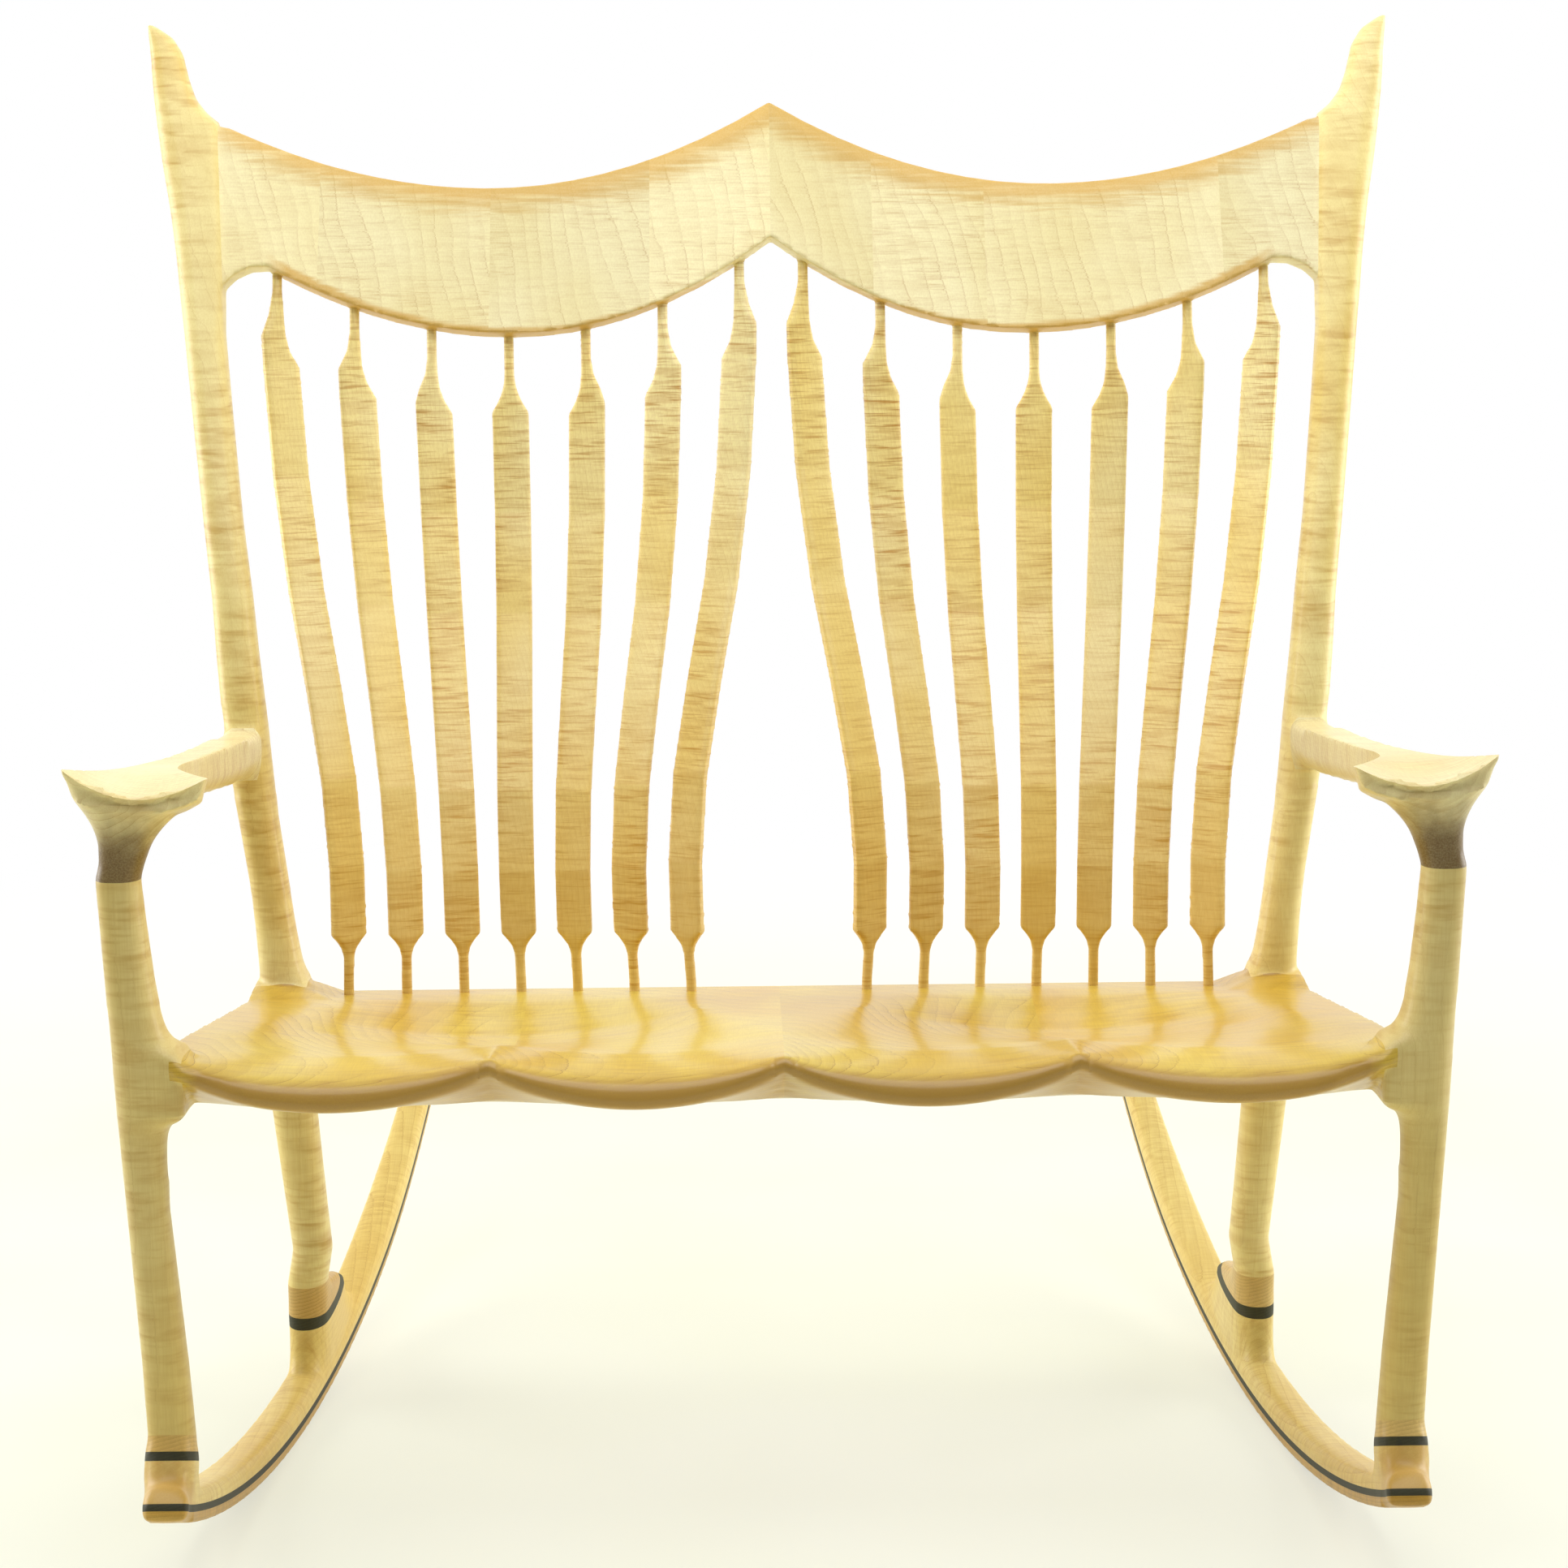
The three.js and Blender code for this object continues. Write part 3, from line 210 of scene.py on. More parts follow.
def merged_copy(node_name):
    """A copy of a piece from the plan of the bench, its loose triangles joined into one skin."""
    copy = bpy.data.objects.new("blank", frame["nodes"][node_name].data.copy())
    bpy.context.scene.collection.objects.link(copy)
    pick(copy)
    bpy.ops.object.mode_set(mode="EDIT")
    bpy.ops.mesh.select_all(action="SELECT")
    bpy.ops.mesh.remove_doubles(threshold=0.00001)
    bpy.ops.object.mode_set(mode="OBJECT")
    return copy


def blade(low, high, tilt=0, roll=0, pivot=Vector()):
    """A block that marks what a saw cut keeps, tilted up and rolled sideways about a pivot, in degrees."""
    bpy.ops.mesh.primitive_cube_add(size=1.0, location=(0, 0, 0))
    block = bpy.context.active_object
    block.scale = high - low
    block.location = (low + high) / 2
    bpy.ops.object.transform_apply(location=True, rotation=True, scale=True)
    turn = Matrix.Rotation(math.radians(roll), 4, "Y") @ Matrix.Rotation(math.radians(tilt), 4, "X")
    block.data.transform(Matrix.Translation(pivot) @ turn @ Matrix.Translation(-pivot))
    return block


def trim(piece, tool, operation="DIFFERENCE"):
    """Cuts a blade out of a piece, or joins it on, and puts the blade away."""
    finish_with(piece, "BOOLEAN", object=tool, operation=operation, solver="MANIFOLD")
    bpy.data.objects.remove(tool)


glued = ["arm", "front_leg", "front_foot_block", "front_foot_spacer", "rocker_body", "rocker_veneer",
         "rocker_sole", "back_foot_spacer", "back_foot_block", "back_leg", "seat_inner_board",
         "seat_outer_board", "front_foot_dowel", "back_foot_dowel", "arm_dowel", "arm_screw",
         "front_seat_screw", "back_seat_screw", "crest_screw"]

# seat and crest rail reach past the middle of the bench, so that the fairing leaves no edge there
blanks = [merged_copy(f"{name}_right") for name in glued]
blanks += [merged_copy("seat_inner_board_left")] + [merged_copy(f"crest_stave_{k}") for k in (4, 5, 6, 7, 8)]
for blank in blanks:
    finish_with(blank, "DISPLACE", strength=blank_growth, mid_level=0.0, direction="NORMAL")

# plugs for the spindles' holes, each laid along the way from a tenon's end into its spindle, in metres
plug_radius = 0.0056
plug_length = 0.0172
plug_middle = 0.0083  # from the tenon's end
foot_end = 0.001  # points up to this far above the lowest one are the end of the lower tenon
head_end = 0.008  # and the upper tenon's end is slanted, so it reaches further
foot_way = Vector((0, 0, 1))
head_way = Vector((0, -0.454, -0.891))  # leans 27 degrees, as the crest rail does
spindle_row = range(1, 8)  # seven behind each sitter
for k in spindle_row:
    points = [v.co for v in frame["nodes"][f"spindle_{k}_right"].data.vertices]
    lowest, highest = min(p.z for p in points), max(p.z for p in points)
    foot_ring = [p for p in points if p.z < lowest + foot_end]
    head_ring = [p for p in points if p.z > highest - head_end]
    for ring, way in ((foot_ring, foot_way), (head_ring, head_way)):
        centre = sum(ring, Vector()) / len(ring) + way * plug_middle
        bpy.ops.mesh.primitive_cylinder_add(vertices=16, radius=plug_radius, depth=plug_length,
                                            location=centre)
        plug = bpy.context.active_object
        plug.rotation_euler = way.to_track_quat("Z", "Y").to_euler()
        bpy.ops.object.transform_apply(location=True, rotation=True, scale=True)
        blanks.append(plug)

# the rocker's end is sawn off at a slope, from the foot of the front leg down to the nose
slope_top = at(leg_side, -20.1, 111.5)
slope_tilt = 34  # degrees
waste_wide = 0.05  # metres to each side
waste_long = 0.08
waste_high = 0.06
slope_cut = blade(slope_top - Vector((waste_wide, waste_long, 0)),
                  slope_top + Vector((waste_wide, 0, waste_high)), tilt=slope_tilt, pivot=slope_top)
trim(blanks[glued.index("rocker_body")], slope_cut)
pick(*blanks)
bpy.ops.object.join()
half = bpy.context.view_layer.objects.active
half.name = "half_bench"
finish_with(half, "REMESH", mode="VOXEL", voxel_size=coarse / 1000, use_smooth_shade=True)
finish_with(half, "SMOOTH", factor=0.5, iterations=3)


def fair(body, keep, spread, rounds):
    """Edges that turn more than keep degrees are left alone, and what lies between them is smoothed."""
    pick(body)
    body.vertex_groups.clear()
    bpy.ops.object.mode_set(mode="EDIT")
    bpy.ops.mesh.select_mode(type="EDGE")
    bpy.ops.mesh.select_all(action="DESELECT")
    bpy.ops.mesh.edges_select_sharp(sharpness=math.radians(keep))
    for _ in range(spread):
        bpy.ops.mesh.select_more()
    lines = body.vertex_groups.new(name="hard_lines")
    bpy.ops.object.vertex_group_assign()
    bpy.ops.object.mode_set(mode="OBJECT")
    finish_with(body, "SMOOTH", factor=0.5, iterations=rounds, vertex_group=lines.name,
                invert_vertex_group=True)


def rub(body, rounds, x=(-600, 600), behind=(-200, 900), z=(0, 1300), only=None):
    """Rub one place rounder. It lies between limits in mm, and a test can pick points in it by where they
    are, in mm, and which way they face."""
    body.vertex_groups.clear()
    there = []
    for vertex in body.data.vertices:
        side, back, up = vertex.co.x * 1000, vertex.co.y * 1000 + middle_behind, vertex.co.z * 1000
        if x[0] < side < x[1] and behind[0] < back < behind[1] and z[0] < up < z[1]:
            if only is None or only(side, back, up, vertex.normal):
                there.append(vertex.index)
    place = body.vertex_groups.new(name="rubbed_place")
    place.add(there, 1.0, "REPLACE")
    finish_with(body, "SMOOTH", factor=0.8, iterations=round(rounds * (2.0 / coarse) ** 2),
                vertex_group=place.name)


# first the facets of legs and arms, then the long sweeps of seat, crest rail and rockers, and a last rub
fair(half, keep=19, spread=1, rounds=8)
fair(half, keep=4.2 * coarse / 2.0, spread=2, rounds=90)
finish_with(half, "SMOOTH", factor=0.5, iterations=1)

# the rim of the arm is the one crisp edge: the line between the faces that look up and those that don't is
# taken off the arm, rounded and kept, and at last the points beside it are pulled onto it
outline = merged_copy("arm_right")
facing_up = set()
facing_off = set()
for face in outline.data.polygons:
    pairs = {tuple(sorted(pair)) for pair in face.edge_keys}
    if face.normal.z > 0.75:
        facing_up |= pairs
    if face.normal.z < 0.6:
        facing_off |= pairs
bpy.ops.object.mode_set(mode="EDIT")
bpy.ops.mesh.select_mode(type="EDGE")
bpy.ops.mesh.select_all(action="DESELECT")
bpy.ops.object.mode_set(mode="OBJECT")
rim_edges = facing_up & facing_off
for edge in outline.data.edges:
    edge.select = tuple(sorted(edge.vertices)) in rim_edges
bpy.ops.object.mode_set(mode="EDIT")
bpy.ops.mesh.separate(type="SELECTED")
bpy.ops.object.mode_set(mode="OBJECT")
rim = next(piece for piece in bpy.context.selected_objects if piece is not outline)
bpy.data.objects.remove(outline)
pick(rim)
bpy.ops.object.mode_set(mode="EDIT")
bpy.ops.mesh.select_all(action="SELECT")
bpy.ops.mesh.subdivide(number_cuts=20)
bpy.ops.mesh.vertices_smooth(factor=0.5, repeat=60)
bpy.ops.object.mode_set(mode="OBJECT")
rim_line = KDTree(len(rim.data.vertices))
for index, vertex in enumerate(rim.data.vertices):
    rim_line.insert(vertex.co, index)
rim_line.balance()

# the goblet flows into the rim of the arm, but the rim itself is left alone
rim_margin = 0.004  # metres
rub(half, 95, x=(440, 600), behind=(-200, 80), z=(566, 622), only=lambda x, behind, z, facing: (
    facing.z < 0.25 and rim_line.find(at(x, behind, z))[2] > rim_margin))

# the seat's lip is a round roll, broken by the creases between its lobes
crease = 7  # mm to each side
rub(half, 90, x=(-600, 424), behind=(-200, 0), z=(345, 415), only=lambda x, behind, z, facing: (
    abs(x) > crease and abs(x - seat_seam) > crease))

# the front leg's joint block runs out under the seat in hollow fillets, and the arm runs into the back leg
rub(half, 75, x=(396, 470), behind=(-34, 60), z=(318, 372))
rub(half, 50, x=(400, 600), behind=(392, 458), z=(530, 606),
    only=lambda x, behind, z, facing: facing.y < 0.6)

# the seat's front and back corners flow into the legs
rub(half, 28, x=(385, 600), behind=(-30, 40), z=(404, 450))
rub(half, 28, x=(385, 600), behind=(385, 475), z=(378, 450))

# the rocker's nose, up to a height above the sole's arc, and the tip of the horn are eased
nose_height = 56
rub(half, 40, behind=(-200, -12), only=lambda x, behind, z, facing: (
    sole_radius - math.hypot(behind - sole_behind, sole_radius - z) < nose_height))
rub(half, 10, z=(1150, 1300))

# the pull onto the rim, in mm: how far it reaches, over what width it fades out, and where the rim ends
pull_reach = 5
pull_fade = 3.2
rim_end = 260
rim_fade = 60
half.vertex_groups.clear()
beside = half.vertex_groups.new(name="beside_rim")
for vertex in half.data.vertices:
    if vertex.co.x > 0.3 and vertex.co.z > 0.56:
        off = rim_line.find(vertex.co)[2] * 1000
        behind = vertex.co.y * 1000 + middle_behind
        if off < pull_reach and behind < rim_end:
            pull = min(1, (pull_reach - off) / pull_fade) * min(1, (rim_end - behind) / rim_fade)
            beside.add([vertex.index], pull, "REPLACE")
finish_with(half, "SHRINKWRAP", target=rim, wrap_method="NEAREST_VERTEX", vertex_group=beside.name)
bpy.data.objects.remove(rim)

# Seat: four thick maple boards, their grain from front to back, edge-glued, hollowed for two sitters and
# notched round the legs. Its front lip is end grain, which drank more oil and turned brown, and it also
# carries painted shade that deepens where its faces look forward. The top is rubbed to a soft shine, in
# which the growth rings show like the lines of a map.
board_numbers = (0.17 * k for k in range(1, 200))  # each finished piece takes the next one
hard_edge = 32  # degrees, from which an edge is drawn sharp
smallest_part = 60  # faces, below which a loose body is a chip
glue_line = 0.15  # mm from a glued face to the middle of the glue
front_notch = 433 - glue_line  # mm from the middle of the bench to the joint block of the front leg
front_block = 24 + glue_line  # mm, half the depth of that block
front_side = 441.6  # mm, the seat's side ahead of it
back_notch = 400.5  # mm from the middle of the bench to the joint block of the back leg
back_block = 396.5  # mm, the front of that block, behind the front legs' axis
arc_radius = sole_radius / 1000
arc_centre = at(leg_side, sole_behind, sole_radius - 0.1)  # a flat on the sole takes 0.1 mm off its height


def saw(body, tool, name):
    """What lies inside the blade becomes a piece of its own, and the body keeps the rest."""
    piece = bpy.data.objects.new(name, body.data.copy())
    bpy.context.scene.collection.objects.link(piece)
    finish_with(piece, "BOOLEAN", object=tool, operation="INTERSECT", solver="MANIFOLD")
    trim(body, tool)
    return piece


def loose_parts(body):
    """Separate bodies of a sawn blank, the largest first. Chips from the saw are swept away."""
    pick(body)
    bpy.ops.mesh.separate(type="LOOSE")
    parts = sorted(bpy.context.selected_objects, key=lambda part: -len(part.data.polygons))
    for chip in [part for part in parts if len(part.data.polygons) < smallest_part]:
        parts.remove(chip)
        bpy.data.objects.remove(chip)
    return parts


def mirrored(piece):
    """The same piece for the bench's left half, its faces turned outwards again."""
    copy = bpy.data.objects.new(piece.name, piece.data.copy())
    bpy.context.scene.collection.objects.link(copy)
    copy.data.transform(Matrix.Scale(-1, 4, (1, 0, 0)))
    pick(copy)
    bpy.ops.object.mode_set(mode="EDIT")
    bpy.ops.mesh.select_all(action="SELECT")
    bpy.ops.mesh.normals_make_consistent(inside=False)
    bpy.ops.object.mode_set(mode="OBJECT")
    return copy


def fit(piece, node_name, material):
    """The finished piece takes its place, its wood and the node that it stands for."""
    piece.name = f"shaped_{node_name}"
    piece.vertex_groups.clear()
    piece.data.materials.clear()
    piece.data.materials.append(material)
    number = piece.data.attributes.new("board", "FLOAT", "POINT")
    number.data.foreach_set("value", [next(board_numbers)] * len(piece.data.vertices))
    pick(piece)
    bpy.ops.object.shade_smooth_by_angle(angle=math.radians(hard_edge))
    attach(piece, "root")
    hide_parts(node_name)


def fit_pair(piece, name, material):
    """A right piece without its chips, and its mirror image for the left."""
    piece = loose_parts(piece)[0]
    fit(mirrored(piece), f"{name}_left", material)
    fit(piece, f"{name}_right", material)


def place_in_board(tree, place, along):
    """Two ways across the grain and, last, the way along it, in metres. On a rocker it follows the arc."""
    if along == "arc":
        axes = add(tree, "SeparateXYZ", {0: place}).outputs
        behind = add(tree, "Math", {0: axes["Y"], 1: arc_centre.y}, operation="SUBTRACT").outputs[0]
        below = add(tree, "Math", {0: arc_centre.z, 1: axes["Z"]}, operation="SUBTRACT").outputs[0]
        angle = add(tree, "Math", {0: behind, 1: below}, operation="ARCTAN2").outputs[0]
        length = add(tree, "Math", {0: angle, 1: arc_radius}, operation="MULTIPLY").outputs[0]
        flat = add(tree, "CombineXYZ", {0: behind, 1: below}).outputs[0]
        radius = add(tree, "VectorMath", {0: flat}, operation="LENGTH").outputs["Value"]
        board = add(tree, "CombineXYZ", {0: axes["X"], 1: radius, 2: length}).outputs[0]
    else:
        turn = {"Z": (0, 0, 0), "Y": (math.pi / 2, 0, 0)}[along]
        board = add(tree, "Mapping", {"Vector": place, "Rotation": turn}, vector_type="POINT").outputs[0]
    # the board's number moves it to another place in the log, so no two boards have the same marks
    number = add(tree, "Attribute", attribute_name="board").outputs["Fac"]
    shift = add(tree, "VectorMath", {0: (0.37, 0.61, 0.83), "Scale": number}, operation="SCALE").outputs[0]
    return add(tree, "VectorMath", {0: board, 1: shift}, operation="ADD").outputs[0], number


def streaks(tree, board, across, length, start, end, least=0.0, most=1.0, twist=0.0):
    """Soft marks in a board, of a size across and along the grain in mm. They rise from least to most
    between two levels of the noise, start and end."""
    size = (1000 / across, 1000 / across, 1000 / length)
    spot = add(tree, "VectorMath", {0: board, 1: size}, operation="MULTIPLY").outputs[0]
    noise = add(tree, "TexNoise", {"Vector": spot, "Scale": 1.0, "Detail": 2.0,
                                   "Distortion": twist}).outputs[0]
    return add(tree, "MapRange", {0: noise, 1: start, 2: end, 3: least, 4: most},
               interpolation_type="SMOOTHSTEP").outputs[0]


def maple(name, along, light, mid, dark, curl, curl_depth, ring, ring_depth, ring_way, wide=5.0, wander=1.4,
          crisp=0.0, gloss=0.1, roughness=0.35, soak_and_shade=None, soak_and_shade_colour=None):
    """Curly maple, planed, sanded and rubbed with oil to a soft shine. Curl is the height of the bands of
    figure in mm, and wide how many times longer than high they are. Ring is the space between the growth
    lines in mm, which lie across ring_way and bend by wander rings. Crisp sharpens the fine creases between
    the bands, gloss is the film of oil, and soaked a function that gives where the wood turns darker: end
    grain that has drunk more oil, and on some pieces painted shade as well."""
    material = bpy.data.materials.new(name)
    material.use_nodes = True
    tree = material.node_tree
    tree.nodes.clear()
    place = add(tree, "TexCoord").outputs["Object"]
    board, number = place_in_board(tree, place, along)

    # figure: bands across the grain, wide ones with fine creases between, stronger in some places
    bands = streaks(tree, board, curl * wide, curl, start=0.38, end=0.68, most=0.5, twist=0.4)
    fine = streaks(tree, board, curl * wide * 0.8, curl * 0.4, start=0.46 + 0.06 * crisp,
                   end=0.72 - 0.06 * crisp, most=0.65, twist=0.15)
    patches = streaks(tree, board, 90, 160, start=0.3, end=0.7, least=0.3 * curl_depth, most=curl_depth)
    figure = add(tree, "Math", {0: bands, 1: fine}, operation="ADD").outputs[0]
    figure = add(tree, "Math", {0: figure, 1: patches}, operation="MULTIPLY", use_clamp=True).outputs[0]

    # growth lines: thin sheets through the board, bent a little, that wriggle with the figure. Each year
    # darkens slowly and ends in a line, which fades in places
    across = tuple(1000 / ring * share for share in ring_way)
    sheets = add(tree, "VectorMath", {0: board, 1: across}, operation="DOT_PRODUCT").outputs["Value"]
    bend = streaks(tree, board, 70, 420, start=0.2, end=0.8, most=wander)
    sheets = add(tree, "Math", {0: sheets, 1: bend}, operation="ADD").outputs[0]
    sheets = add(tree, "Math", {0: fine, 1: 0.2, 2: sheets}, operation="MULTIPLY_ADD").outputs[0]
    year = add(tree, "Math", {0: sheets}, operation="FRACT").outputs[0]
    late_wood = add(tree, "MapRange", {0: year, 1: 0.25, 2: 1.0, 3: 0.0, 4: 0.3 * ring_depth}).outputs[0]
    fading = streaks(tree, board, 40, 200, start=0.4, end=0.62, least=0.05 * ring_depth, most=ring_depth)
    line = add(tree, "MapRange", {0: year, 1: 0.92, 2: 0.98, 3: 0.0, 4: fading}).outputs[0]
    rings = add(tree, "Math", {0: late_wood, 1: line}, operation="ADD", use_clamp=True).outputs[0]
    if along == "Y":
        # on the carved seat and arms they show where the surface cuts through the sheets, and fade
        # where it runs along one
        facing = add(tree, "Mapping", {"Vector": add(tree, "TexCoord").outputs["Normal"],
                                       "Rotation": (math.pi / 2, 0, 0)}, vector_type="VECTOR").outputs[0]
        cut = add(tree, "VectorMath", {0: facing, 1: Vector(ring_way).normalized()},
                  operation="CROSS_PRODUCT").outputs[0]
        cut = add(tree, "VectorMath", {0: cut}, operation="LENGTH").outputs["Value"]
        cut = add(tree, "MapRange", {0: cut, 1: 0.08, 2: 0.32, 3: 0.12, 4: 1.0}).outputs[0]
        rings = add(tree, "Math", {0: rings, 1: cut}, operation="MULTIPLY").outputs[0]

    # fibres, drawn coarser than real ones so that they show
    fibres = streaks(tree, board, 1.1, 34, start=0.3, end=0.7, most=0.13)

    # colour: pale and golden areas, the figure and fibres darker, and the growth lines over them
    areas = streaks(tree, board, 140, 260, start=0.3, end=0.7)
    tone = add(tree, "Mix", {0: areas, 6: linear(light), 7: linear(mid)}, data_type="RGBA").outputs[2]
    tone = add(tree, "Mix", {0: figure, 6: tone, 7: linear(dark)}, data_type="RGBA").outputs[2]
    tone = add(tree, "Mix", {0: fibres, 6: tone, 7: linear(dark)}, data_type="RGBA").outputs[2]
    tone = add(tree, "Mix", {0: rings, 6: tone, 7: linear(dark)}, data_type="RGBA",
               blend_type="MULTIPLY").outputs[2]
    if soak_and_shade:
        # darker end grain and, on some pieces, painted shade, laid over the wood's colour
        pores = streaks(tree, board, 1.2, 3.0, start=0.3, end=0.7, least=0.88)
        soak_and_shade_mask = add(tree, "Math", {0: soak_and_shade(tree, place, board), 1: pores}, operation="MULTIPLY").outputs[0]
        tone = add(tree, "Mix", {0: soak_and_shade_mask, 6: tone, 7: linear(soak_and_shade_colour)}, data_type="RGBA").outputs[2]

    # each board is a little paler or darker than the next, by a sine that scatters the boards' numbers
    scatter = 12.9898
    each = add(tree, "Math", {0: number, 1: scatter}, operation="MULTIPLY").outputs[0]
    each = add(tree, "Math", {0: each}, operation="SINE").outputs[0]
    each = add(tree, "MapRange", {0: each, 1: -1.0, 2: 1.0, 3: 0.96, 4: 1.03}).outputs[0]
    tone = add(tree, "HueSaturation", {"Value": each, "Color": tone}).outputs[0]

    # oiled surface: the figure is a little shinier than the rest, and fibres and figure can just be felt
    rough = add(tree, "MapRange", {0: figure, 3: roughness + 0.05, 4: roughness - 0.03}).outputs[0]
    relief = add(tree, "Math", {0: fibres, 1: 3.0, 2: figure}, operation="MULTIPLY_ADD").outputs[0]
    relief = add(tree, "Bump", {"Strength": 0.12, "Distance": 0.0004, "Height": relief}).outputs[0]
    skin = add(tree, "BsdfPrincipled", {"Base Color": tone, "Roughness": rough, "Normal": relief, "IOR": 1.5,
                                         "Specular IOR Level": 0.28, "Coat Weight": gloss,
                                         "Coat Roughness": 0.16})
    add(tree, "OutputMaterial", {"Surface": skin.outputs[0]})
    return material


def seat_lip_stain_and_shade(tree, place, board):
    """End grain stained by oil, with painted shade on the faces that look forward, except in the notched
    corners beside the legs.
    """
    normal = add(tree, "TexCoord").outputs["Normal"]
    forward = add(tree, "VectorMath", {0: normal, 1: (0, -1, 0)}, operation="DOT_PRODUCT").outputs["Value"]
    uneven = streaks(tree, board, 30, 30, start=0.2, end=0.8, least=-0.12, most=0.12)
    forward = add(tree, "Math", {0: forward, 1: uneven}, operation="ADD").outputs[0]
    end = add(tree, "MapRange", {0: forward, 1: -0.05, 2: 0.8}, interpolation_type="SMOOTHSTEP").outputs[0]
    across = add(tree, "SeparateXYZ", {0: place}).outputs[0]
    side = add(tree, "Math", {0: across}, operation="ABSOLUTE").outputs[0]
    inside = add(tree, "MapRange", {0: side, 1: 0.42, 2: 0.432, 3: 1.0, 4: 0.15}).outputs[0]
    return add(tree, "Math", {0: end, 1: inside}, operation="MULTIPLY").outputs[0]


def notch(inner, front, rear):
    """A blade beside the seat, from inner outwards, that keeps the seat's saw off a leg."""
    return blade(at(inner, front, 300), at(520, rear, 440))


def seat_slab(left, right):
    """A blade through the whole seat between two places across the bench."""
    return blade(at(left, -200, 200), at(right, 600, 600))


# golden maple with clear growth rings over a faint figure, and the highest shine on the bench
seat_wood = maple("maple_seat_oiled_polished", "Y", "#DDC556", "#D1AC3E", "#A07224", curl=9.0, curl_depth=0.4,
                  ring=3.4, ring_depth=0.6, ring_way=(0.12, 1, 0), wander=1.1, gloss=0.24,
                  roughness=0.28, soak_and_shade=seat_lip_stain_and_shade, soak_and_shade_colour="#B48E47")

# a block round the whole seat, less the places of the legs
seat_blade = blade(at(-250, -80, 312), at(500, 470, 432))
trim(seat_blade, notch(front_notch, -front_block, front_block))
trim(seat_blade, notch(front_side, -90, front_block))
trim(seat_blade, notch(back_notch, back_block, 480))
outer_board = saw(half, seat_blade, "seat_outer_board")
over_middle = saw(outer_board, seat_slab(-400, 0), "over_middle")
bpy.data.objects.remove(over_middle)
inner_board = saw(outer_board, seat_slab(-100, seat_seam), "seat_inner_board")
fit_pair(inner_board, "seat_inner_board", seat_wood)
fit_pair(outer_board, "seat_outer_board", seat_wood)

# Crest rail: eight maple staves with upright grain, glued side by side and carved as one rail with a hollow
# for each sitter's shoulders. It is sawn to the slant of the back legs. Its top and bottom edges are end
# grain and turned amber in the oil.
crest_end = 487  # mm from the middle of the bench to the leg, at the height of the glue line's middle
leg_slant = 4.4  # degrees


def crest_edges(tree, place, board):
    """An amber band along the curved top edge and a narrow one along the bottom edge. Each row says where
    the edge is lowest, how high it is there, how far it rises to the middle of the bench, on which side of
    it the rail lies, how wide the band is, all in metres, and how ragged."""
    axes = add(tree, "SeparateXYZ", {0: place}).outputs
    side = add(tree, "Math", {0: axes["X"]}, operation="ABSOLUTE").outputs[0]
    uneven = streaks(tree, board, 60, 4, start=0.2, end=0.8, least=-0.008, most=0.008)
    bands = []
    for lowest_at, height, rise, toward, wide, ragged in ((0.249, 1.0465, 0.068, -1, 0.036, 1.0),
                                                          (0.225, 0.915, 0.070, 1, 0.007, 0.2)):
        from_lowest = add(tree, "Math", {0: side, 1: lowest_at}, operation="SUBTRACT").outputs[0]
        share = add(tree, "Math", {0: from_lowest, 1: lowest_at}, operation="DIVIDE").outputs[0]
        share = add(tree, "Math", {0: share, 1: share}, operation="MULTIPLY").outputs[0]
        edge = add(tree, "Math", {0: share, 1: rise, 2: height}, operation="MULTIPLY_ADD").outputs[0]
        inward = add(tree, "Math", {0: axes["Z"], 1: edge}, operation="SUBTRACT").outputs[0]
        inward = add(tree, "Math", {0: inward, 1: toward}, operation="MULTIPLY").outputs[0]
        inward = add(tree, "Math", {0: uneven, 1: ragged, 2: inward}, operation="MULTIPLY_ADD").outputs[0]
        bands.append(add(tree, "MapRange", {0: inward, 1: wide * 0.2, 2: wide, 3: 0.88, 4: 0.0},
                         interpolation_type="SMOOTHSTEP").outputs[0])
    # the lower band stops short of the leg
    inner = add(tree, "MapRange", {0: side, 1: 0.425, 2: 0.445, 3: 1.0, 4: 0.0}).outputs[0]
    low = add(tree, "Math", {0: bands[1], 1: inner}, operation="MULTIPLY").outputs[0]
    return add(tree, "Math", {0: bands[0], 1: low}, operation="MAXIMUM").outputs[0]


def crest_slab(left, right):
    """A blade through the whole crest rail between two places across the bench."""
    return blade(at(left, -200, 600), at(right, 900, 1300))


# pale maple with fine close creases, and wide growth lines that run upwards
crest_wood = maple("maple_crest_oiled", "Z", "#F4EDC0", "#ECE1A8", "#C0964A", curl=3.8, curl_depth=0.42,
                   wide=9.0, ring=15.0, ring_depth=0.32, ring_way=(1, 0.4, 0), wander=1.2,
                   crisp=0.3, soak_and_shade=crest_edges, soak_and_shade_colour="#CDA245")

# a block that ends in the slant of the leg, and a lower one, clear of the leg, for where the rail dips
crest_joint = at(crest_end, 450, 1046.5)
crest_blade = blade(at(-160, 300, 904), at(crest_end, 800, 1170), roll=leg_slant, pivot=crest_joint)
trim(crest_blade, blade(at(-200, 250, 860), at(440, 800, 960)), "UNION")
crest_half = saw(half, crest_blade, "crest_half")
over_middle = saw(crest_half, crest_slab(-400, 0), "over_middle")
bpy.data.objects.remove(over_middle)
crest_left = mirrored(crest_half)

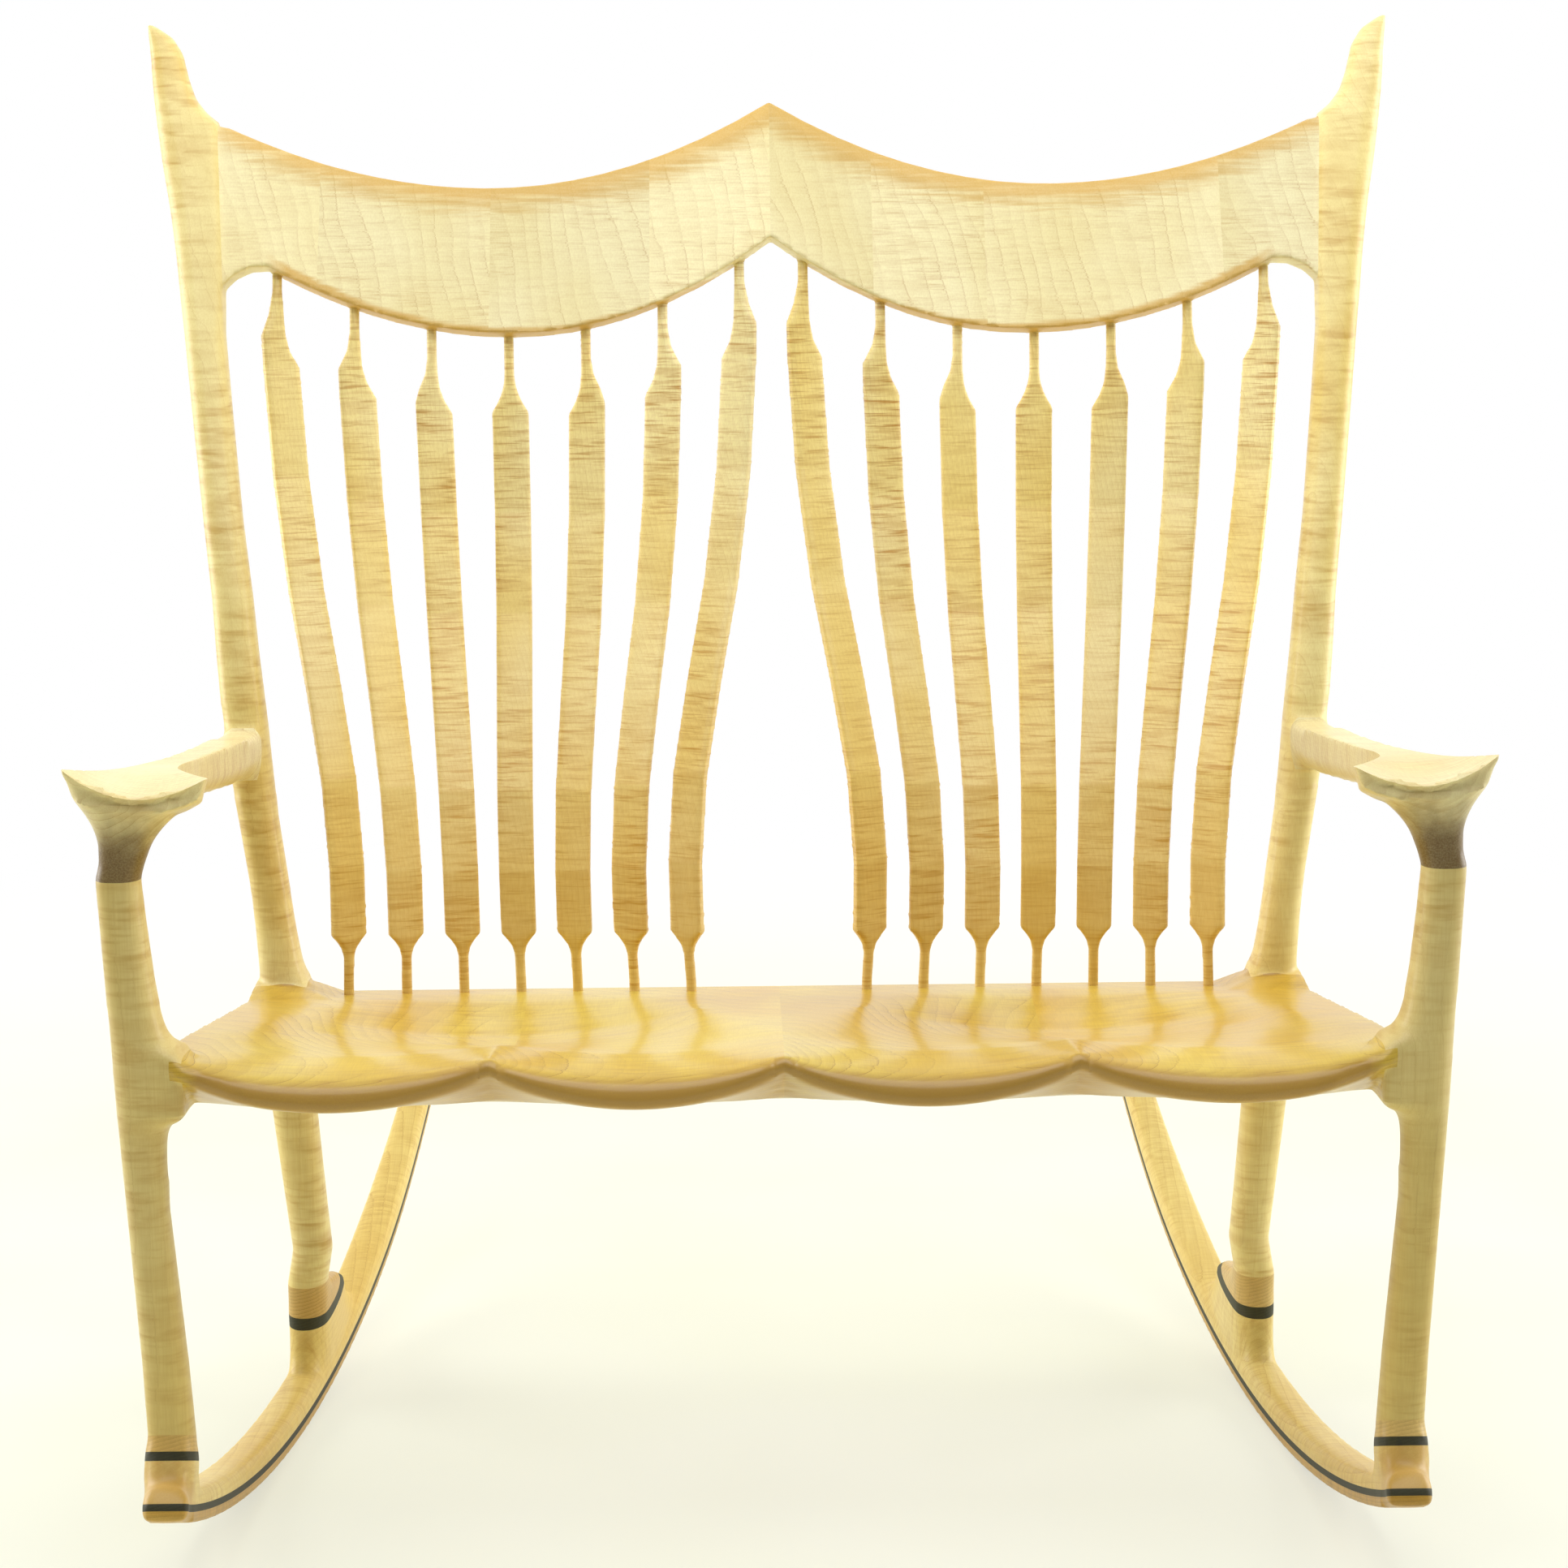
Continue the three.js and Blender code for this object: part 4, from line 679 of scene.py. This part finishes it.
# each stave is sawn off at its inner seam, a share of the way from the middle of the bench to the leg
for rail, way, seam_shares in ((crest_half, 1, {8: 0.82, 7: 0.39, 6: 0.185, 5: 0}),
                               (crest_left, -1, {1: 0.82, 2: 0.51, 3: 0.22, 4: 0})):
    for number, share in seam_shares.items():
        stave = rail
        if share:
            ends = sorted((way * share * crest_end, way * 600))
            stave = saw(rail, crest_slab(*ends), "stave")
        fit(loose_parts(stave)[0], f"crest_stave_{number}", crest_wood)

# Feet of the legs: a black spacer and a darker maple block between each leg and the rocker, glued square to
# the rocker and shaped with it. They are dowelled through into the leg.
foot_room = 0.09  # metres to each side of the middle of a foot, past all of it


def foot_slab(behind, low, high):
    """A blade square to the rocker at a leg, between two heights above the sole in mm."""
    tilt = math.degrees(math.asin((behind - sole_behind) / sole_radius))
    return blade(arc_centre + Vector((-foot_room, -foot_room, low / 1000 - arc_radius)),
                 arc_centre + Vector((foot_room, foot_room, high / 1000 - arc_radius)), tilt=tilt,
                 pivot=arc_centre)


# dull black wood that shows as a plain dark band, and maple that is a shade darker than the leg
black_wood = maple("blackwood_veneer_oiled", "arc", "#46462F", "#38382A", "#1E1E16", curl=9.0, curl_depth=0.4,
                   ring=2.5, ring_depth=0.5, ring_way=(0.3, 1, 0), gloss=0.0, roughness=0.5)
block_wood = maple("maple_foot_block_oiled", "arc", "#E4C882", "#D5B164", "#9C783C", curl=7.0, curl_depth=0.4,
                   ring=3.0, ring_depth=0.6, ring_way=(0.25, 1, 0))

# where each leg's foot stands, how high the rocker's leg seat is, and both thicknesses, in mm
for leg, behind, leg_seat, spacer, block in (("front", -16, 44.5, 6.4, 11.5), ("back", 440, 61, 9.5, 26)):
    low = leg_seat + glue_line
    middle = low + spacer + 2 * glue_line
    high = middle + block + 2 * glue_line
    fit_pair(saw(half, foot_slab(behind, low, middle), "spacer"), f"{leg}_foot_spacer", black_wood)
    fit_pair(saw(half, foot_slab(behind, middle, high), "block"), f"{leg}_foot_block", block_wood)

# Arms: a broad dished paddle, a narrow waist and a goblet underneath that runs into the front leg, dowelled
# there and screwed through the back leg. The goblet's neck is end grain that drank oil, and painted shade
# darkens it further towards its foot.
arm_low = 543 + glue_line  # mm, the top of the front leg
leg_face = at(leg_side, 422.8, 547.9)  # the front of the back leg, where the arm meets it
leg_lean = -14.2  # degrees


def goblet_neck_stain_and_shade(tree, place, board):
    """End grain and painted shade, from the foot of the goblet up to where it widens, on the front end of the
    arm only.
    """
    axes = add(tree, "SeparateXYZ", {0: place}).outputs
    uneven = streaks(tree, board, 16, 30, start=0.2, end=0.8, least=-0.006, most=0.006)
    height = add(tree, "Math", {0: axes["Z"], 1: uneven}, operation="ADD").outputs[0]
    neck = add(tree, "MapRange", {0: height, 1: 0.560, 2: 0.604, 3: 0.95, 4: 0.0},
               interpolation_type="SMOOTHSTEP").outputs[0]
    front = add(tree, "MapRange", {0: axes["Y"], 1: -0.38, 2: -0.33, 3: 1.0, 4: 0.0}).outputs[0]
    return add(tree, "Math", {0: neck, 1: front}, operation="MULTIPLY").outputs[0]


# pale maple whose growth lines follow the paddle in wide loops
arm_wood = maple("maple_arm_oiled", "Y", "#F4EBBC", "#E8D898", "#BE9246", curl=7.0, curl_depth=0.4,
                 ring=4.8, ring_depth=0.45, ring_way=(0.35, 0.5, 0.8), wander=3.0,
                 soak_and_shade=goblet_neck_stain_and_shade, soak_and_shade_colour="#6A4F24")

# a block round the whole arm, up to the front of the back leg, which leans
arm_blade = blade(at(370, -70, arm_low), at(600, 560, 720))
trim(arm_blade, blade(leg_face + Vector((-0.2, 0, -0.3)), leg_face + Vector((0.3, 0.4, 0.4)), tilt=leg_lean,
                      pivot=leg_face))

# above and below the end of the arm the leg keeps all its wood
for low, high in ((589, 730), (530, 546)):
    trim(arm_blade, blade(at(360, 385, low), at(610, 570, high)))
fit_pair(saw(half, arm_blade, "arm"), "arm", arm_wood)

# Rockers: three laminations bent and glued on a form, with the leg seats built up on the top one, all shaped
# to flow into each other. The middle lamination is a thin black one and the sole is maple.
sole_top = 7.5 + glue_line  # mm above the sole's arc, up to the middle of the glue
veneer_top = sole_top + 5 + 2 * glue_line
drum_sides = 1800  # each is 3 mm long, so no corner shows in the glue lines
drum_width = 0.3  # metres, across the whole rocker and more
rest = loose_parts(half)
rocker = min(rest, key=lambda part: part.bound_box[0][2])
back_leg = max(rest, key=lambda part: part.bound_box[6][2])
front_leg = next(part for part in rest if part not in (rocker, back_leg))


def arc_drum(height):
    """A drum round the centre of the sole's arc that ends at a height above the sole in mm."""
    bpy.ops.mesh.primitive_cylinder_add(vertices=drum_sides, radius=arc_radius - height / 1000,
                                        depth=drum_width, location=(0, 0, 0))
    drum = bpy.context.active_object
    drum.data.transform(Matrix.Translation(arc_centre) @ Matrix.Rotation(math.pi / 2, 4, "Y"))
    return drum


def rocker_nose(tree, place, board):
    """End grain at the front end, under the front leg."""
    ahead = add(tree, "SeparateXYZ", {0: place}).outputs["Y"]
    uneven = streaks(tree, board, 8, 20, start=0.2, end=0.8, least=-0.01, most=0.01)
    ahead = add(tree, "Math", {0: ahead, 1: uneven}, operation="ADD").outputs[0]
    return add(tree, "MapRange", {0: ahead, 1: -0.44, 2: -0.405, 3: 0.9, 4: 0.0},
               interpolation_type="SMOOTHSTEP").outputs[0]


# golden maple whose figure crosses the bend, and a browner sole that looks like a thin dark edge
rocker_wood = maple("maple_curly_rocker_oiled", "arc", "#F2E196", "#E6CB74", "#C09240", curl=5.0,
                    curl_depth=0.5, ring=5.0, ring_depth=0.3, ring_way=(0.5, 0.85, 0), soak_and_shade=rocker_nose,
                    soak_and_shade_colour="#CDA65C")
sole_wood = maple("maple_sole_oiled", "arc", "#D6B05A", "#C49C48", "#80602A", curl=5.0, curl_depth=0.5,
                  ring=3.0, ring_depth=0.4, ring_way=(0, 1, 0))
upper = saw(rocker, arc_drum(sole_top), "upper")
rocker_body = saw(upper, arc_drum(veneer_top), "rocker_body")
fit_pair(rocker, "rocker_sole", sole_wood)
fit_pair(upper, "rocker_veneer", black_wood)
fit_pair(rocker_body, "rocker_body", rocker_wood)

# Legs: shaped posts of curly maple, grain upright. The front leg grows square at the seat, and the back leg
# runs on behind the seat to the horn above the crest rail. Both are glued and screwed in the seat's notches.

# curly maple with broad soft bands across the grain; the front legs take a darker copy of it, painted shade
shaded_front_leg_wood = maple("maple_curly_front_leg_painted_shade", "Z", "#E4D496", "#D9C274", "#B88C3C", curl=11.0,
                      curl_depth=0.6, ring=9.0, ring_depth=0.14, ring_way=(0.8, 0.5, 0), wide=4.0)
leg_wood = maple("maple_curly_back_leg_oiled", "Z", "#F4E7A8", "#E9D280", "#C0923C", curl=11.0,
                 curl_depth=0.7, ring=9.0, ring_depth=0.14, ring_way=(0.8, 0.5, 0), wide=4.0)
fit_pair(front_leg, "front_leg", shaded_front_leg_wood)
fit_pair(back_leg, "back_leg", leg_wood)

# Spindles: fourteen thin bent blades of curly maple with round necks at both ends, tenoned into the seat and
# the crest rail. The figure crosses them in fine amber creases.
spindle_faces = 1.7  # mm


def shaded_lower_end(tree, place, board):
    """Painted shade: the blades are more amber towards the seat."""
    height = add(tree, "SeparateXYZ", {0: place}).outputs["Z"]
    return add(tree, "MapRange", {0: height, 1: 0.46, 2: 0.84, 3: 0.45, 4: 0.0}).outputs[0]


spindle_wood = maple("maple_curly_spindle_oiled", "Z", "#FBF0B6", "#F6E18E", "#B87E28", curl=4.6,
                     curl_depth=0.78, ring=4.0, ring_depth=0.2, ring_way=(0.9, 0.4, 0), wide=9.0, crisp=1.0,
                     soak_and_shade=shaded_lower_end, soak_and_shade_colour="#E4B856")
for k in spindle_row:
    spindle = merged_copy(f"spindle_{k}_right")
    finish_with(spindle, "REMESH", mode="VOXEL", voxel_size=spindle_faces / 1000, use_smooth_shade=True)
    finish_with(spindle, "SMOOTH", factor=0.5, iterations=4)
    fit_pair(spindle, f"spindle_{k}", spindle_wood)

# Fittings that the wood hides: birch dowels in the feet and arms, and zinc-plated steel screws through the
# legs. The dowels are turned and the screws rolled, and both stay as they are in the plan of the bench.
# Birch is pale and dull with a fine grain, and the zinc a soft grey metal with a speckle, both sized in mm.
birch = bpy.data.materials.new("birch_dowel_turned")
steel = bpy.data.materials.new("steel_screw_zinc_plated")
for material, colour, dark, rough, metal, mark in (
        (birch, "#DCC69A", "#C9AE7C", 0.6, 0.0, 10 / 9), (steel, "#A8A8A4", "#8C8C86", 0.38, 1.0, 2 / 3)):
    material.use_nodes = True
    tree = material.node_tree
    tree.nodes.clear()
    place = add(tree, "TexCoord").outputs["Object"]
    grain = add(tree, "TexNoise", {"Vector": place, "Scale": 1000 / mark, "Detail": 3.0}).outputs[0]
    tone = add(tree, "Mix", {0: grain, 6: linear(colour), 7: linear(dark)}, data_type="RGBA").outputs[2]
    skin = add(tree, "BsdfPrincipled", {"Base Color": tone, "Roughness": rough, "Metallic": metal}).outputs[0]
    add(tree, "OutputMaterial", {"Surface": skin})
for node_name, node in frame["nodes"].items():
    if "_dowel_" in node_name or "_screw_" in node_name:
        node.data.materials.clear()
        node.data.materials.append(birch if "_dowel_" in node_name else steel)
